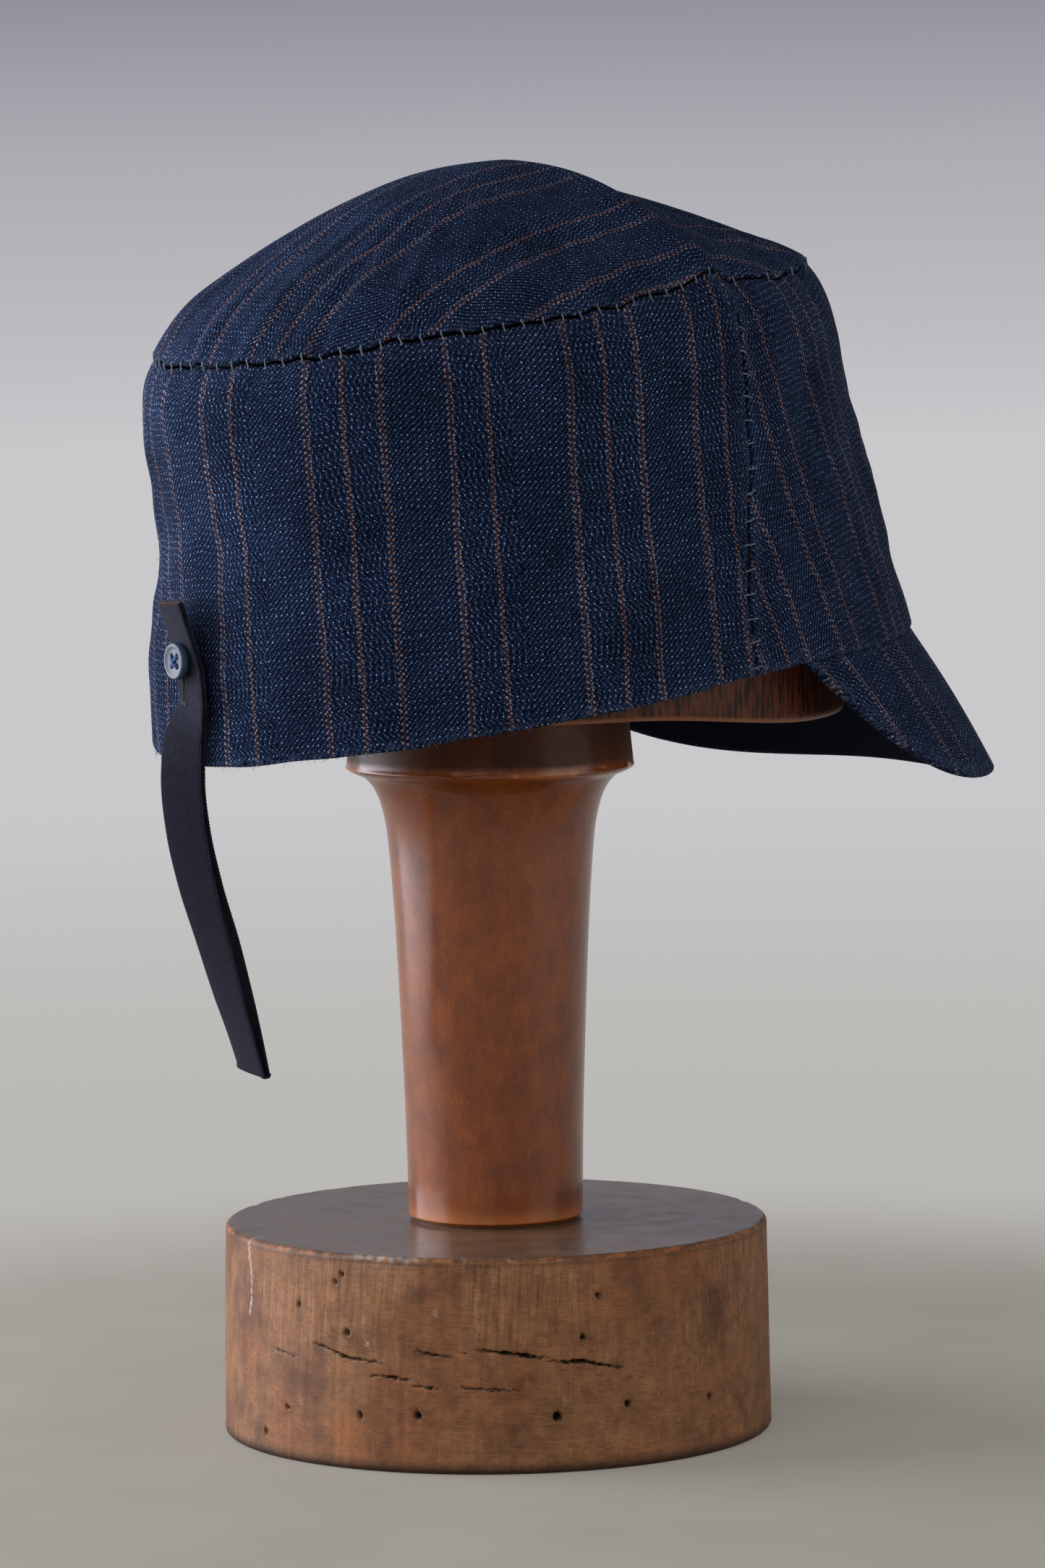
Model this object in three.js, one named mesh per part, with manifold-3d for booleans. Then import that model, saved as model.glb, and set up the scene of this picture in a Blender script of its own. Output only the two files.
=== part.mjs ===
// A field cap of striped denim on a turned wooden hat stand.
// Millimetres, +Z up. The origin is the middle of the stand's underside. The cap faces -Y,
// so forward is -Y, the back is +Y and the wearer's right is -X.

import * as THREE from 'three';
import { mergeVertices } from 'three/addons/utils/BufferGeometryUtils.js';
import Module from 'manifold-3d';

const wasm = await Module();
wasm.setup();

// Driving dimensions

const gap = 0.3; // between pieces that are sewn together or rest on each other
const clothThickness = 2;
const foldFade = 0.5; // how suddenly the wall's folds start at its edges
const tipInner = { levelling: 4, thinning: 6 }; // how soon the tip's inside lies under its outside

// The crown's wall leans in from the oval of its hem to the oval of the seam that holds the tip.
const hemOval = { forward: 14.7, halfLength: 105.5, halfWidth: 83.5 };
const seamOval = { forward: -0.35, halfLength: 89.45, halfWidth: 71 };
const apex = { forward: 7, up: 330.8 };
const shoulder = { bulge: 3.3, sharpness: 5 }; // the wall swells out just under the tip
const tipRoll = { front: 1.4, back: 3.4, lean: 0.7, sharpness: 5 }; // and so does the tip, just above its seam
const crease = { lift: 1.6, spread: 9, softness: 2 }; // soft fold of the tip from each side seam to the apex

// Heights round the crown, the same on both sides: angle 0 is the front and 180 the back.
// Fullness shapes the tip above that angle: 1 is a cone and 2 a round dome.
const crownSections = [
  { angle: 0, hem: 209.0, seam: 304.3, fullness: 1.2 },
  { angle: 30, hem: 207.5, seam: 302.8, fullness: 1.22 },
  { angle: 57, hem: 204.7, seam: 300.2, fullness: 1.38 },
  { angle: 68.5, hem: 203.3, seam: 299.8, fullness: 1.54 },
  { angle: 73.5, hem: 202.5, seam: 302.0, fullness: 1.65 },
  { angle: 82.5, hem: 200.7, seam: 298.0, fullness: 1.68 },
  { angle: 102.5, hem: 194.3, seam: 291.6, fullness: 1.74 },
  { angle: 127, hem: 187.6, seam: 287.2, fullness: 1.88 },
  { angle: 152, hem: 182.2, seam: 281.4, fullness: 1.95 },
  { angle: 180, hem: 178.8, seam: 279.6, fullness: 1.95 },
];

// The seam between the front and the rear panel wanders forward on its way up from the hem (level 0)
// to the tip (level 1), in a shallow valley.
const sideSeam = { gapAngle: 0.12, valley: 1.3, valleyAngle: 3.5 };
const sideSeamRows = [
  { level: 0, angle: 83 },
  { level: 0.2, angle: 81 },
  { level: 0.4, angle: 77.4 },
  { level: 0.55, angle: 74.2 },
  { level: 0.7, angle: 73 },
  { level: 0.88, angle: 71.8 },
  { level: 1, angle: 73.5 },
];

// Soft dents (out below zero) and swells of the wall, on the same levels
const wallFolds = [
  { angle: 202, level: 0.5, out: -1.7, spread: 26, reach: 0.17 },
  { angle: 205, level: 0.2, out: 1.7, spread: 22, reach: 0.16 },
  { angle: 150, level: 0.42, out: 0.9, spread: 10, reach: 0.3 },
  { angle: 122, level: 0.6, out: -1.1, spread: 9, reach: 0.26 },
  { angle: 100, level: 0.3, out: 0.9, spread: 10, reach: 0.22 },
  { angle: 28, level: 0.17, out: -0.3, spread: 16, reach: 0.12 },
  { angle: 30, level: 0.42, out: 1.1, spread: 18, reach: 0.2 },
  { angle: 300, level: 0.45, out: -1.0, spread: 12, reach: 0.25 },
  { angle: 250, level: 0.55, out: -1.1, spread: 11, reach: 0.26 },
];

const peak = {
  angle: 73, // how far round from the front it is sewn on
  forward: 150.6,
  halfWidth: 80.5,
  sideForward: 47,
  up: 165.5,
  sideUp: 201.9,
  roundness: 1.2,
  droop: 2.3,
  wave: 1.4, // its rim is higher beside the middle and hangs lower towards the sides
  waveStart: 0.08, // rounds the wave off at the middle
  bow: 1.2,
  bowLean: 0.7, // share of the bow that goes outwards, and as much upwards
  thickness: 3.6,
  thinning: 0.35, // how much thinner its rim is
  thinningSharpness: 5,
};

// The tape loop behind the crown. Rows go down from its cut ends: how far behind the hem and to the
// right its middle hangs, how it turns and tips in degrees, and half the space between its two layers.
const tape = { width: 12, thickness: 0.8, top: 220.4 };
const tapeRows = [
  { down: 0, behind: 5.6, right: 1.5, turn: -4, tip: 0, halfGap: 0.6 },
  { down: 9.9, behind: 3.2, right: 3.3, turn: -5, tip: 0, halfGap: 0.6 },
  { down: 18.3, behind: 2.3, right: 5.3, turn: -2, tip: 0, halfGap: 0.6 },
  { down: 25.1, behind: 2.3, right: 6.2, turn: -2, tip: 0, halfGap: 0.6 },
  { down: 29.9, behind: 2.6, right: 5.0, turn: 10, tip: 0, halfGap: 0.65 },
  { down: 34.8, behind: 3.6, right: 3.9, turn: 22, tip: 0, halfGap: 0.75 },
  { down: 40.2, behind: 4.2, right: 4.1, turn: 25, tip: 1, halfGap: 0.85 },
  { down: 45.6, behind: 3.8, right: 3.2, turn: 27, tip: 2, halfGap: 0.9 },
  { down: 57.6, behind: 1.6, right: 1.6, turn: 28, tip: 5, halfGap: 1.05 },
  { down: 71.6, behind: -2.6, right: 0, turn: 26, tip: 10, halfGap: 1.4 },
  { down: 86.6, behind: -9.2, right: -3, turn: 22, tip: 15, halfGap: 1.7 },
  { down: 101.6, behind: -16, right: -7, turn: 18, tip: 21, halfGap: 1.6 },
  { down: 113.6, behind: -21.9, right: -11, turn: 14, tip: 25, halfGap: 1.2 },
  { down: 122.6, behind: -26.3, right: -14.4, turn: 12, tip: 27, halfGap: 0.85 },
];
const slit = { width: 2.4, depth: 72, right: 3.8, top: 208.5, bottom: 195.3 };

const button = { radius: 4.75, thickness: 2.5, dish: 0.5, right: 3.9, up: 206, standOff: 0.7 };
// From the button's rear face round its rim into the dish: how far inside its radius it is there
const buttonRows = [
  { up: 0, inside: 0.9 },
  { up: 0.5, inside: 0.25 },
  { up: 1.2, inside: 0 },
  { up: 2.1, inside: 0.15 },
  { up: button.thickness, inside: 0.6 },
  { up: 2.4, inside: 1.0 },
  { up: button.thickness - button.dish, inside: 1.7 },
];
const buttonHole = { radius: 0.62, offset: 1.3 };
const thread = { shankRadius: 0.85, pinRadius: 0.42, stitchRadius: 0.5 };
const knot = { radius: 2.3, from: -0.34, to: -0.14 }; // behind the button

const base = { footRadius: 71.6, topRadius: 70.8, height: 55.1, edge: 1.6 };
const block = { forward: 6.7, halfLength: 92.8, halfWidth: 73.8, underside: 189.8 };

// The turned column from its foot up through the flared neck to the lip and the cone under the block
const columnRows = [
  { up: base.height, radius: 22.75 },
  { up: 79, radius: 23.2 },
  { up: 109, radius: 24.25 },
  { up: 132, radius: 25.3 },
  { up: 149, radius: 26.4 },
  { up: 158, radius: 27.3 },
  { up: 164, radius: 28.6 },
  { up: 168, radius: 30.2 },
  { up: 171.3, radius: 32.9 },
  { up: 173, radius: 36.6 },
  { up: 173.8, radius: 37.6 },
  { up: 175, radius: 37.4 },
  { up: block.underside, radius: 36 },
];

// The head block narrows upwards to stay inside the crown. Its lower edge hangs a little towards the front.
const blockDroop = { from: -5, to: 62 };
const blockRows = [
  { up: block.underside, scale: 0.55, droop: 0 },
  { up: block.underside, scale: 0.985, droop: 4 },
  { up: 192, scale: 1, droop: 4 },
  { up: 237, scale: 1, droop: 0 },
  { up: 257, scale: 0.97, droop: 0 },
  { up: 272, scale: 0.925, droop: 0 },
  { up: 287, scale: 0.84, droop: 0 },
  { up: 299, scale: 0.71, droop: 0 },
  { up: 308, scale: 0.56, droop: 0 },
  { up: 317, scale: 0.33, droop: 0 },
  { up: 325, scale: 0.12, droop: 0 },
  { up: 328.4, scale: 0.02, droop: 0 },
];

// Facets
const steps = { rear: 40, front: 28, wall: 12, tipRings: 9, peak: 30, peakRows: 7, turned: 44 };
const smallSteps = { tape: 26, tapeFold: 4, button: 24, thread: 10 };
const weld = 1e-4; // points nearer than this are one point
const shortest = 1e-3; // of a triangle's sides

// Points and curves

const degree = Math.PI / 180;
const hemBack = hemOval.forward - hemOval.halfLength;

const at = (forward, right, up) => new THREE.Vector3(-right, -forward, up);

const bell = (x, spread) => Math.exp(-((x / spread) ** 2));

// One column of a table on a smooth curve through its rows, level at each highest and lowest row
function along(rows, key, name, x) {
  const last = rows.length - 1;
  const above = rows.findIndex((row) => row[key] > x);
  const low = above < 0 ? last - 1 : Math.max(above - 1, 0);
  const slope = (n) => (rows[n + 1][name] - rows[n][name]) / (rows[n + 1][key] - rows[n][key]);
  const tangent = (n) => {
    if (n === 0) return slope(0);
    if (n === last) return slope(last - 1);
    const before = slope(n - 1);
    const after = slope(n);
    return before * after <= 0 ? 0 : (2 * before * after) / (before + after);
  };
  const span = rows[low + 1][key] - rows[low][key];
  const t = THREE.MathUtils.clamp((x - rows[low][key]) / span, 0, 1);
  const rise = rows[low + 1][name] - rows[low][name];
  const ease = t * t * (3 - 2 * t);
  const start = t * (1 - t) * (1 - t) * span * tangent(low);
  const end = t * t * (t - 1) * span * tangent(low + 1);
  return rows[low][name] + rise * ease + start + end;
}

const fromFront = (angle) => Math.abs(((angle + 180) % 360 + 360) % 360 - 180);

const mirroredSections = [
  { ...crownSections[1], angle: -crownSections[1].angle },
  ...crownSections,
  { ...crownSections.at(-2), angle: 360 - crownSections.at(-2).angle },
];
const section = (name, angle) => along(mirroredSections, 'angle', name, fromFront(angle));

function ovalPoint(oval, angle, up) {
  const forward = oval.forward + oval.halfLength * Math.cos(angle * degree);
  return at(forward, oval.halfWidth * Math.sin(angle * degree), up);
}

function outward(angle) {
  const forward = Math.cos(angle * degree) / hemOval.halfLength;
  return at(forward, Math.sin(angle * degree) / hemOval.halfWidth, 0).normalize();
}

const hemPoint = (angle) => ovalPoint(hemOval, angle, section('hem', angle));
const seamPoint = (angle) => ovalPoint(seamOval, angle, section('seam', angle));
const sideSeamAngle = (level) => along(sideSeamRows, 'level', 'angle', level);
const cornerAngle = sideSeamAngle(1);

// The crown's wall: level 0 is the hem and 1 the seam under the tip
function wallPoint(angle, level) {
  let out = shoulder.bulge * Math.sin(Math.PI * level ** shoulder.sharpness);
  for (const fold of wallFolds) {
    const turn = fromFront(angle - fold.angle);
    const edge = Math.sin(Math.PI * level) ** foldFade;
    out += fold.out * edge * bell(turn, fold.spread) * bell(level - fold.level, fold.reach);
  }
  const fromSeam = fromFront(angle) - sideSeamAngle(level);
  out -= sideSeam.valley * Math.sin(Math.PI * level) * bell(fromSeam, sideSeam.valleyAngle);
  return hemPoint(angle).lerp(seamPoint(angle), level).addScaledVector(outward(angle), out);
}

const wallInside = (angle, level) => wallPoint(angle, level).addScaledVector(outward(angle), -clothThickness);

// The tip: reach 0 is its sewn edge and 1 the apex
function tipPoint(angle, reach) {
  const edge = seamPoint(angle);
  const point = edge.clone().lerp(at(apex.forward, 0, 0), reach);
  const rise = 1 - (1 - reach) ** section('fullness', angle);
  const fold = crease.lift * bell(fromFront(angle) - cornerAngle, crease.spread);
  const lift = fold * Math.sin(Math.PI * reach) ** crease.softness;
  point.z = THREE.MathUtils.lerp(edge.z + gap, apex.up, rise) + lift;
  const behind = (1 - Math.cos(angle * degree)) / 2;
  const roll = THREE.MathUtils.lerp(tipRoll.front, tipRoll.back, behind);
  const swell = tipRoll.lean * roll * Math.sin(Math.PI * (1 - reach) ** tipRoll.sharpness);
  point.z += swell;
  return point.addScaledVector(outward(angle), swell);
}

// The inside of the tip starts level at the sewn edge and turns to lie under the outside.
function tipInside(angle, reach) {
  const level = (1 - reach) ** tipInner.levelling;
  const under = 1 - (1 - reach) ** tipInner.thinning;
  const point = tipPoint(angle, reach).addScaledVector(outward(angle), -clothThickness * level);
  point.z -= clothThickness * under;
  return point;
}

// The peak: across runs from -1 at its left end to 1 at its right end, and out from 0 at its seam to 1
function peakPoint(across, out) {
  const sewn = hemPoint(across * peak.angle);
  sewn.z -= gap;
  const turn = across * 90 * degree;
  const ahead = Math.max(Math.cos(turn), 0);
  const forward = peak.sideForward + (peak.forward - peak.sideForward) * ahead ** peak.roundness;
  const back = (peak.forward - forward) / (peak.forward - peak.sideForward);
  const fromMiddle = Math.hypot(Math.sqrt(back), peak.waveStart) - peak.waveStart;
  const toEnd = Math.hypot(1, peak.waveStart) - peak.waveStart;
  const wave = peak.wave * Math.sin((2 * Math.PI * fromMiddle) / toEnd);
  const up = peak.up + (peak.sideUp - peak.up) * back ** peak.droop + wave;
  const edge = at(forward, peak.halfWidth * Math.sin(turn), up);
  const swell = peak.bow * peak.bowLean * Math.sin(Math.PI * out) * ahead;
  const lifted = outward(across * peak.angle).multiplyScalar(swell);
  lifted.z = swell;
  return sewn.lerp(edge, out).add(lifted);
}

function peakUnder(across, out) {
  const small = 0.01;
  const sideways = peakPoint(across + small, out).sub(peakPoint(across - small, out));
  const inwards = peakPoint(across, out - small).sub(peakPoint(across, out + small));
  const normal = inwards.cross(sideways).normalize();
  const depth = peak.thickness * (1 - peak.thinning * out ** peak.thinningSharpness);
  return peakPoint(across, out).addScaledVector(normal, -depth);
}

// Solids

function solid(corners) {
  const geometry = mergeVertices(new THREE.BufferGeometry().setFromPoints(corners), weld);
  geometry.computeVertexNormals();
  return geometry;
}

// Two triangles for four corners, without those that have no area
function quad(a, b, c, d) {
  const triangles = [[a, b, c], [a, c, d]];
  const apart = (p, q) => p.distanceTo(q) > shortest;
  const hasArea = ([p, q, r]) => apart(p, q) && apart(q, r) && apart(r, p);
  return triangles.filter(hasArea).flat();
}

const grid = (columns, rows, point) =>
  Array.from({ length: columns + 1 }, (_, i) =>
    Array.from({ length: rows + 1 }, (_, j) => point(i / columns, j / rows)));

function skin(points) {
  const corners = [];
  for (let i = 0; i + 1 < points.length; i++) {
    for (let j = 0; j + 1 < points[i].length; j++) {
      corners.push(...quad(points[i][j], points[i][j + 1], points[i + 1][j + 1], points[i + 1][j]));
    }
  }
  return corners;
}

// A wall between an outer and an inner grid of points, closed along its free edges
function shell(outer, inner, wraps) {
  const side = outer.length - 1;
  const top = outer[0].length - 1;
  const corners = [...skin(outer), ...skin(inner.toReversed())];
  for (let i = 0; i < side; i++) {
    corners.push(...quad(outer[i][0], outer[i + 1][0], inner[i + 1][0], inner[i][0]));
    corners.push(...quad(outer[i][top], inner[i][top], inner[i + 1][top], outer[i + 1][top]));
  }
  for (let j = 0; j < top && !wraps; j++) {
    corners.push(...quad(outer[0][j], inner[0][j], inner[0][j + 1], outer[0][j + 1]));
    corners.push(...quad(outer[side][j], outer[side][j + 1], inner[side][j + 1], inner[side][j]));
  }
  return solid(corners);
}

// A solid through a row of closed rings, with both ends filled in
function loft(rings) {
  const middle = (ring) => ring.reduce((sum, p) => sum.add(p), at(0, 0, 0)).divideScalar(ring.length);
  const filled = (ring) => ring.map(() => middle(ring));
  const all = [filled(rings[0]), ...rings, filled(rings.at(-1))];
  const around = rings[0].length;
  const points = Array.from({ length: around + 1 }, (_, i) => all.map((ring) => ring[i % around]));
  return solid(skin(points));
}

function turned(rows, sides = steps.turned) {
  const profile = [new THREE.Vector2(0, rows[0].up)];
  for (const row of rows) profile.push(new THREE.Vector2(row.radius, row.up));
  profile.push(new THREE.Vector2(0, rows.at(-1).up));
  return new THREE.LatheGeometry(profile, sides).rotateX(Math.PI / 2);
}

function toManifold(geometry) {
  const bare = geometry.clone();
  bare.deleteAttribute('normal');
  bare.deleteAttribute('uv');
  const merged = mergeVertices(bare, weld);
  const vertProperties = merged.attributes.position.array;
  const triVerts = new Uint32Array(merged.index.array);
  return new wasm.Manifold(new wasm.Mesh({ numProp: 3, vertProperties, triVerts }));
}

function fromManifold(manifold) {
  const mesh = manifold.getMesh();
  const geometry = new THREE.BufferGeometry();
  geometry.setAttribute('position', new THREE.BufferAttribute(mesh.vertProperties, 3));
  geometry.setIndex(new THREE.BufferAttribute(mesh.triVerts, 1));
  geometry.computeVertexNormals();
  return geometry;
}

// The crown

function rearPanel() {
  const turn = (across, level) => {
    const start = sideSeamAngle(level) + sideSeam.gapAngle;
    return THREE.MathUtils.lerp(start, 360 - start, across);
  };
  const outer = grid(steps.rear, steps.wall, (across, level) => wallPoint(turn(across, level), level));
  const inner = grid(steps.rear, steps.wall, (across, level) => wallInside(turn(across, level), level));
  return shell(outer, inner, false);
}

function frontPanel() {
  const turn = (across, level) => {
    const end = sideSeamAngle(level) - sideSeam.gapAngle;
    return THREE.MathUtils.lerp(-end, end, across);
  };
  const outer = grid(steps.front, steps.wall, (across, level) => wallPoint(turn(across, level), level));
  const inner = grid(steps.front, steps.wall, (across, level) => wallInside(turn(across, level), level));
  return shell(outer, inner, false);
}

// The tip has a column of facets over each column of the panels, so their edges run side by side.
function crownTip() {
  const columns = steps.front + steps.rear;
  const turn = (across) => {
    const column = Math.round(across * columns);
    if (column <= steps.front) {
      return THREE.MathUtils.lerp(-cornerAngle, cornerAngle, column / steps.front);
    }
    const behind = (column - steps.front) / steps.rear;
    return THREE.MathUtils.lerp(cornerAngle, 360 - cornerAngle, behind);
  };
  const outer = grid(columns, steps.tipRings, (across, reach) => tipPoint(turn(across), reach));
  const inner = grid(columns, steps.tipRings, (across, reach) => tipInside(turn(across), reach));
  return shell(outer, inner, true);
}

function peakShell() {
  const place = (across, rise) => [2 * across - 1, 1 - rise];
  const outer = grid(steps.peak, steps.peakRows, (across, rise) => peakPoint(...place(across, rise)));
  const inner = grid(steps.peak, steps.peakRows, (across, rise) => peakUnder(...place(across, rise)));
  return shell(outer, inner, false);
}

// The buttoned tape

function tapeMiddle(down) {
  const value = (name) => along(tapeRows, 'down', name, down);
  return at(hemBack - value('behind'), value('right'), tape.top - down);
}

// Place of the tape loop's middle, with its directions down, across and back
function tapeFrame(down) {
  const small = 0.2;
  const heading = tapeMiddle(down + small).sub(tapeMiddle(down - small)).normalize();
  const turn = along(tapeRows, 'down', 'turn', down) * degree;
  const tip = along(tapeRows, 'down', 'tip', down) * degree;
  const level = at(Math.sin(turn), Math.cos(turn), -Math.tan(tip));
  const across = level.addScaledVector(heading, -level.dot(heading)).normalize();
  const back = heading.clone().cross(across);
  const halfGap = along(tapeRows, 'down', 'halfGap', down);
  return { middle: tapeMiddle(down), heading, across, back, halfGap };
}

function tapeRing(centre, across, face) {
  const half = tape.thickness / 2;
  const corner = (side, depth) =>
    centre.clone().addScaledVector(across, (side * tape.width) / 2).addScaledVector(face, depth * half);
  return [corner(1, 1), corner(1, -1), corner(-1, -1), corner(-1, 1)];
}

function tab() {
  const length = tapeRows.at(-1).down;
  const rings = [];
  const layer = (fraction, side) => {
    const { middle, across, back, halfGap } = tapeFrame(fraction * length);
    const face = back.clone().multiplyScalar(side);
    rings.push(tapeRing(middle.clone().addScaledVector(face, halfGap), across, face));
  };
  for (let i = 0; i <= smallSteps.tape; i++) layer(i / smallSteps.tape, 1);
  const { middle, heading, across, back, halfGap } = tapeFrame(length);
  for (let i = 1; i <= smallSteps.tapeFold; i++) {
    const angle = (180 * i) / (smallSteps.tapeFold + 1);
    const face = back.clone().multiplyScalar(Math.cos(angle * degree));
    face.addScaledVector(heading, Math.sin(angle * degree));
    rings.push(tapeRing(middle.clone().addScaledVector(face, halfGap), across, face));
  }
  for (let i = smallSteps.tape; i >= 0; i--) layer(i / smallSteps.tape, -1);
  const cutter = new THREE.BoxGeometry(slit.width, slit.depth, slit.top - slit.bottom);
  cutter.translate(-slit.right, -hemBack, (slit.top + slit.bottom) / 2);
  return fromManifold(toManifold(loft(rings)).subtract(toManifold(cutter)));
}

// The button faces the back. Its own parts are made along +Z from its rear face.
const buttonDown = tape.top - button.up;
const tapeFace = tapeFrame(buttonDown);
const buttonBack = -tapeFace.middle.y - tapeFace.halfGap - tape.thickness / 2 - button.standOff;
const buttonAngle = 180 - Math.asin(button.right / hemOval.halfWidth) / degree;
const buttonLevel = (button.up - hemPoint(180).z) / (seamPoint(180).z - hemPoint(180).z);
const crownBack = -wallPoint(buttonAngle, buttonLevel).y;

const facingBack = (geometry) =>
  geometry.rotateX(-Math.PI / 2).translate(-button.right, -buttonBack, button.up);

function rod(radius, from, to, right = 0, up = 0) {
  const geometry = new THREE.CylinderGeometry(radius, radius, to - from, smallSteps.thread);
  return geometry.rotateX(Math.PI / 2).translate(right, up, (from + to) / 2);
}

const holeSides = [[1, 1], [1, -1], [-1, -1], [-1, 1]];
const holePlaces = holeSides.map((sides) => sides.map((n) => n * buttonHole.offset));

function buttonDisc() {
  const rows = buttonRows.map(({ up, inside }) => ({ up, radius: button.radius - inside }));
  const disc = turned(rows, smallSteps.button);
  let made = toManifold(disc);
  for (const [x, y] of holePlaces) {
    const hole = rod(buttonHole.radius, -button.thickness, 2 * button.thickness, x, y);
    made = made.subtract(toManifold(hole));
  }
  return facingBack(fromManifold(made));
}

// Behind the button the thread is a wound shank with a knot, and its strands cross on the front.
function buttonThread() {
  const face = button.thickness - button.dish;
  let made = toManifold(rod(thread.shankRadius, buttonBack - crownBack + gap, knot.to));
  made = made.add(toManifold(rod(knot.radius, knot.from, knot.to)));
  for (const [x, y] of holePlaces) {
    made = made.add(toManifold(rod(thread.pinRadius, knot.from, face + gap + thread.stitchRadius, x, y)));
  }
  for (const side of [45, -45]) {
    const length = 2 * Math.SQRT2 * buttonHole.offset + 2 * thread.pinRadius;
    const radius = thread.stitchRadius;
    const stitch = new THREE.CylinderGeometry(radius, radius, length, smallSteps.thread);
    stitch.rotateZ(side * degree).translate(0, 0, face + gap + radius);
    made = made.add(toManifold(stitch));
  }
  return facingBack(fromManifold(made));
}

// The stand

function standBase() {
  return turned([
    { up: 0, radius: base.footRadius - base.edge },
    { up: base.edge / 3, radius: base.footRadius - base.edge / 3 },
    { up: base.edge, radius: base.footRadius },
    { up: base.height - base.edge, radius: base.topRadius },
    { up: base.height - base.edge / 3, radius: base.topRadius - base.edge / 3 },
    { up: base.height, radius: base.topRadius - base.edge },
  ]);
}

function standBlock() {
  const ring = ({ up, scale, droop }) =>
    Array.from({ length: steps.turned }, (_, i) => {
      const angle = (360 * i * degree) / steps.turned;
      const forward = block.forward + block.halfLength * scale * Math.cos(angle);
      const lowered = droop * THREE.MathUtils.smoothstep(forward, blockDroop.from, blockDroop.to);
      return at(forward, block.halfWidth * scale * Math.sin(angle), up - lowered);
    });
  return loft(blockRows.map(ring));
}

// The object

function piece(name, geometry, color, roughness) {
  const material = new THREE.MeshStandardMaterial({ color, roughness, metalness: 0 });
  const mesh = new THREE.Mesh(geometry, material);
  mesh.name = name;
  return mesh;
}

const cap = new THREE.Group();
cap.add(piece('crown_tip', crownTip(), 0x252c42, 0.95));
cap.add(piece('rear_panel', rearPanel(), 0x242b40, 0.95));
cap.add(piece('front_panel', frontPanel(), 0x22293c, 0.95));
cap.add(piece('peak', peakShell(), 0x232a3d, 0.95));
cap.add(piece('tab', tab(), 0x1a1b26, 0.85));
cap.add(piece('button', buttonDisc(), 0x6d7482, 0.4));
cap.add(piece('button_thread', buttonThread(), 0x2c4068, 0.8));

const stand = new THREE.Group();
stand.add(piece('stand_base', standBase(), 0x6b4630, 0.6));
stand.add(piece('stand_column', turned(columnRows), 0x7a4a2c, 0.35));
stand.add(piece('stand_block', standBlock(), 0x4a2c22, 0.6));

const fieldCap = new THREE.Group();
fieldCap.add(stand, cap);

export default fieldCap;
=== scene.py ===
# Field cap of striped denim on a turned wooden hat stand
import functools
import math

import bmesh
import bpy
import numpy as np
from mathutils import Matrix, Vector


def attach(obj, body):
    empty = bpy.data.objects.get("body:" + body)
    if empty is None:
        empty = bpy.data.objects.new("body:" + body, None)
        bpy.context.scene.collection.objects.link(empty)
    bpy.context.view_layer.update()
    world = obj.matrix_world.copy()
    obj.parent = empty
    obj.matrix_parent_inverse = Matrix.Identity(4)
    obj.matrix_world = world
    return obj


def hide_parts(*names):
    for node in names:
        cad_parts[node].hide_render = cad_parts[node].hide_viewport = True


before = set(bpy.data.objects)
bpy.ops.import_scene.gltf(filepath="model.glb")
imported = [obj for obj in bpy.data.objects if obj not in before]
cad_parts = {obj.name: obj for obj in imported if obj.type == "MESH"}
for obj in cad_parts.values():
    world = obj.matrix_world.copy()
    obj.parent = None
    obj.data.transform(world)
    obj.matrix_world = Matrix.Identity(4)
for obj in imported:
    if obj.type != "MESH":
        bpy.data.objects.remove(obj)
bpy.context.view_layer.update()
print("frame loaded")

mm = 0.001  # shapes are worked out in millimetres, meshes are in metres
chance = np.random.default_rng(11)


def addObject(name, data):
    made = bpy.data.objects.new(name, data)
    bpy.context.scene.collection.objects.link(made)
    return made


# Camera, at the photograph's place and angle
camera = {
    "imageHeight": 2168,
    "focal": 9700,  # pixels of that image
    "sensor": 36.0,
    "azimuth": 237.0,
    "distance": 1820.0,
    "up": 332.8,
    "pitch": 5.149,
    "yaw": 0.264,
    "roll": 0.72,
}


def turnPair(first, second, degrees):  # two unit vectors turned in their own plane
    c, s = math.cos(math.radians(degrees)), math.sin(math.radians(degrees))
    return first * c + second * s, second * c - first * s


azimuth = math.radians(camera["azimuth"])
upward = np.array([0.0, 0.0, 1.0])
toCamera = np.array([math.sin(azimuth), -math.cos(azimuth), 0.0])
cameraSide = np.array([math.cos(azimuth), math.sin(azimuth), 0.0])


def addCamera():
    ahead, side = turnPair(-toCamera, cameraSide, camera["yaw"])
    look, lift = turnPair(ahead, -upward, camera["pitch"])
    lift = -lift
    side, lift = turnPair(side, -lift, camera["roll"])
    lift = -lift
    data = bpy.data.cameras.new("photoCamera")
    data.sensor_width = camera["sensor"]
    data.lens = camera["focal"] / camera["imageHeight"] * camera["sensor"]
    made = addObject("photoCamera", data)
    place = (toCamera * camera["distance"] + upward * camera["up"]) * mm
    columns = np.stack([side, lift, -look, place], 1)
    made.matrix_world = Matrix([*columns.tolist(), [0, 0, 0, 1]])
    bpy.context.scene.camera = made


addCamera()
print("camera placed")


# Curves and grids
def at(forward, right, up):  # the cap faces -Y and its right side is at -X
    return np.stack(np.broadcast_arrays(-np.asarray(right, float), -np.asarray(forward, float), up), -1)


def bell(x, spread):
    return np.exp(-((x / spread) ** 2))


def smoothStep(x, low, high):
    t = np.clip((x - low) / (high - low), 0, 1)
    return t * t * (3 - 2 * t)


def unit(v):
    return v / np.maximum(np.linalg.norm(v, axis=-1, keepdims=True), 1e-9)


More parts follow.
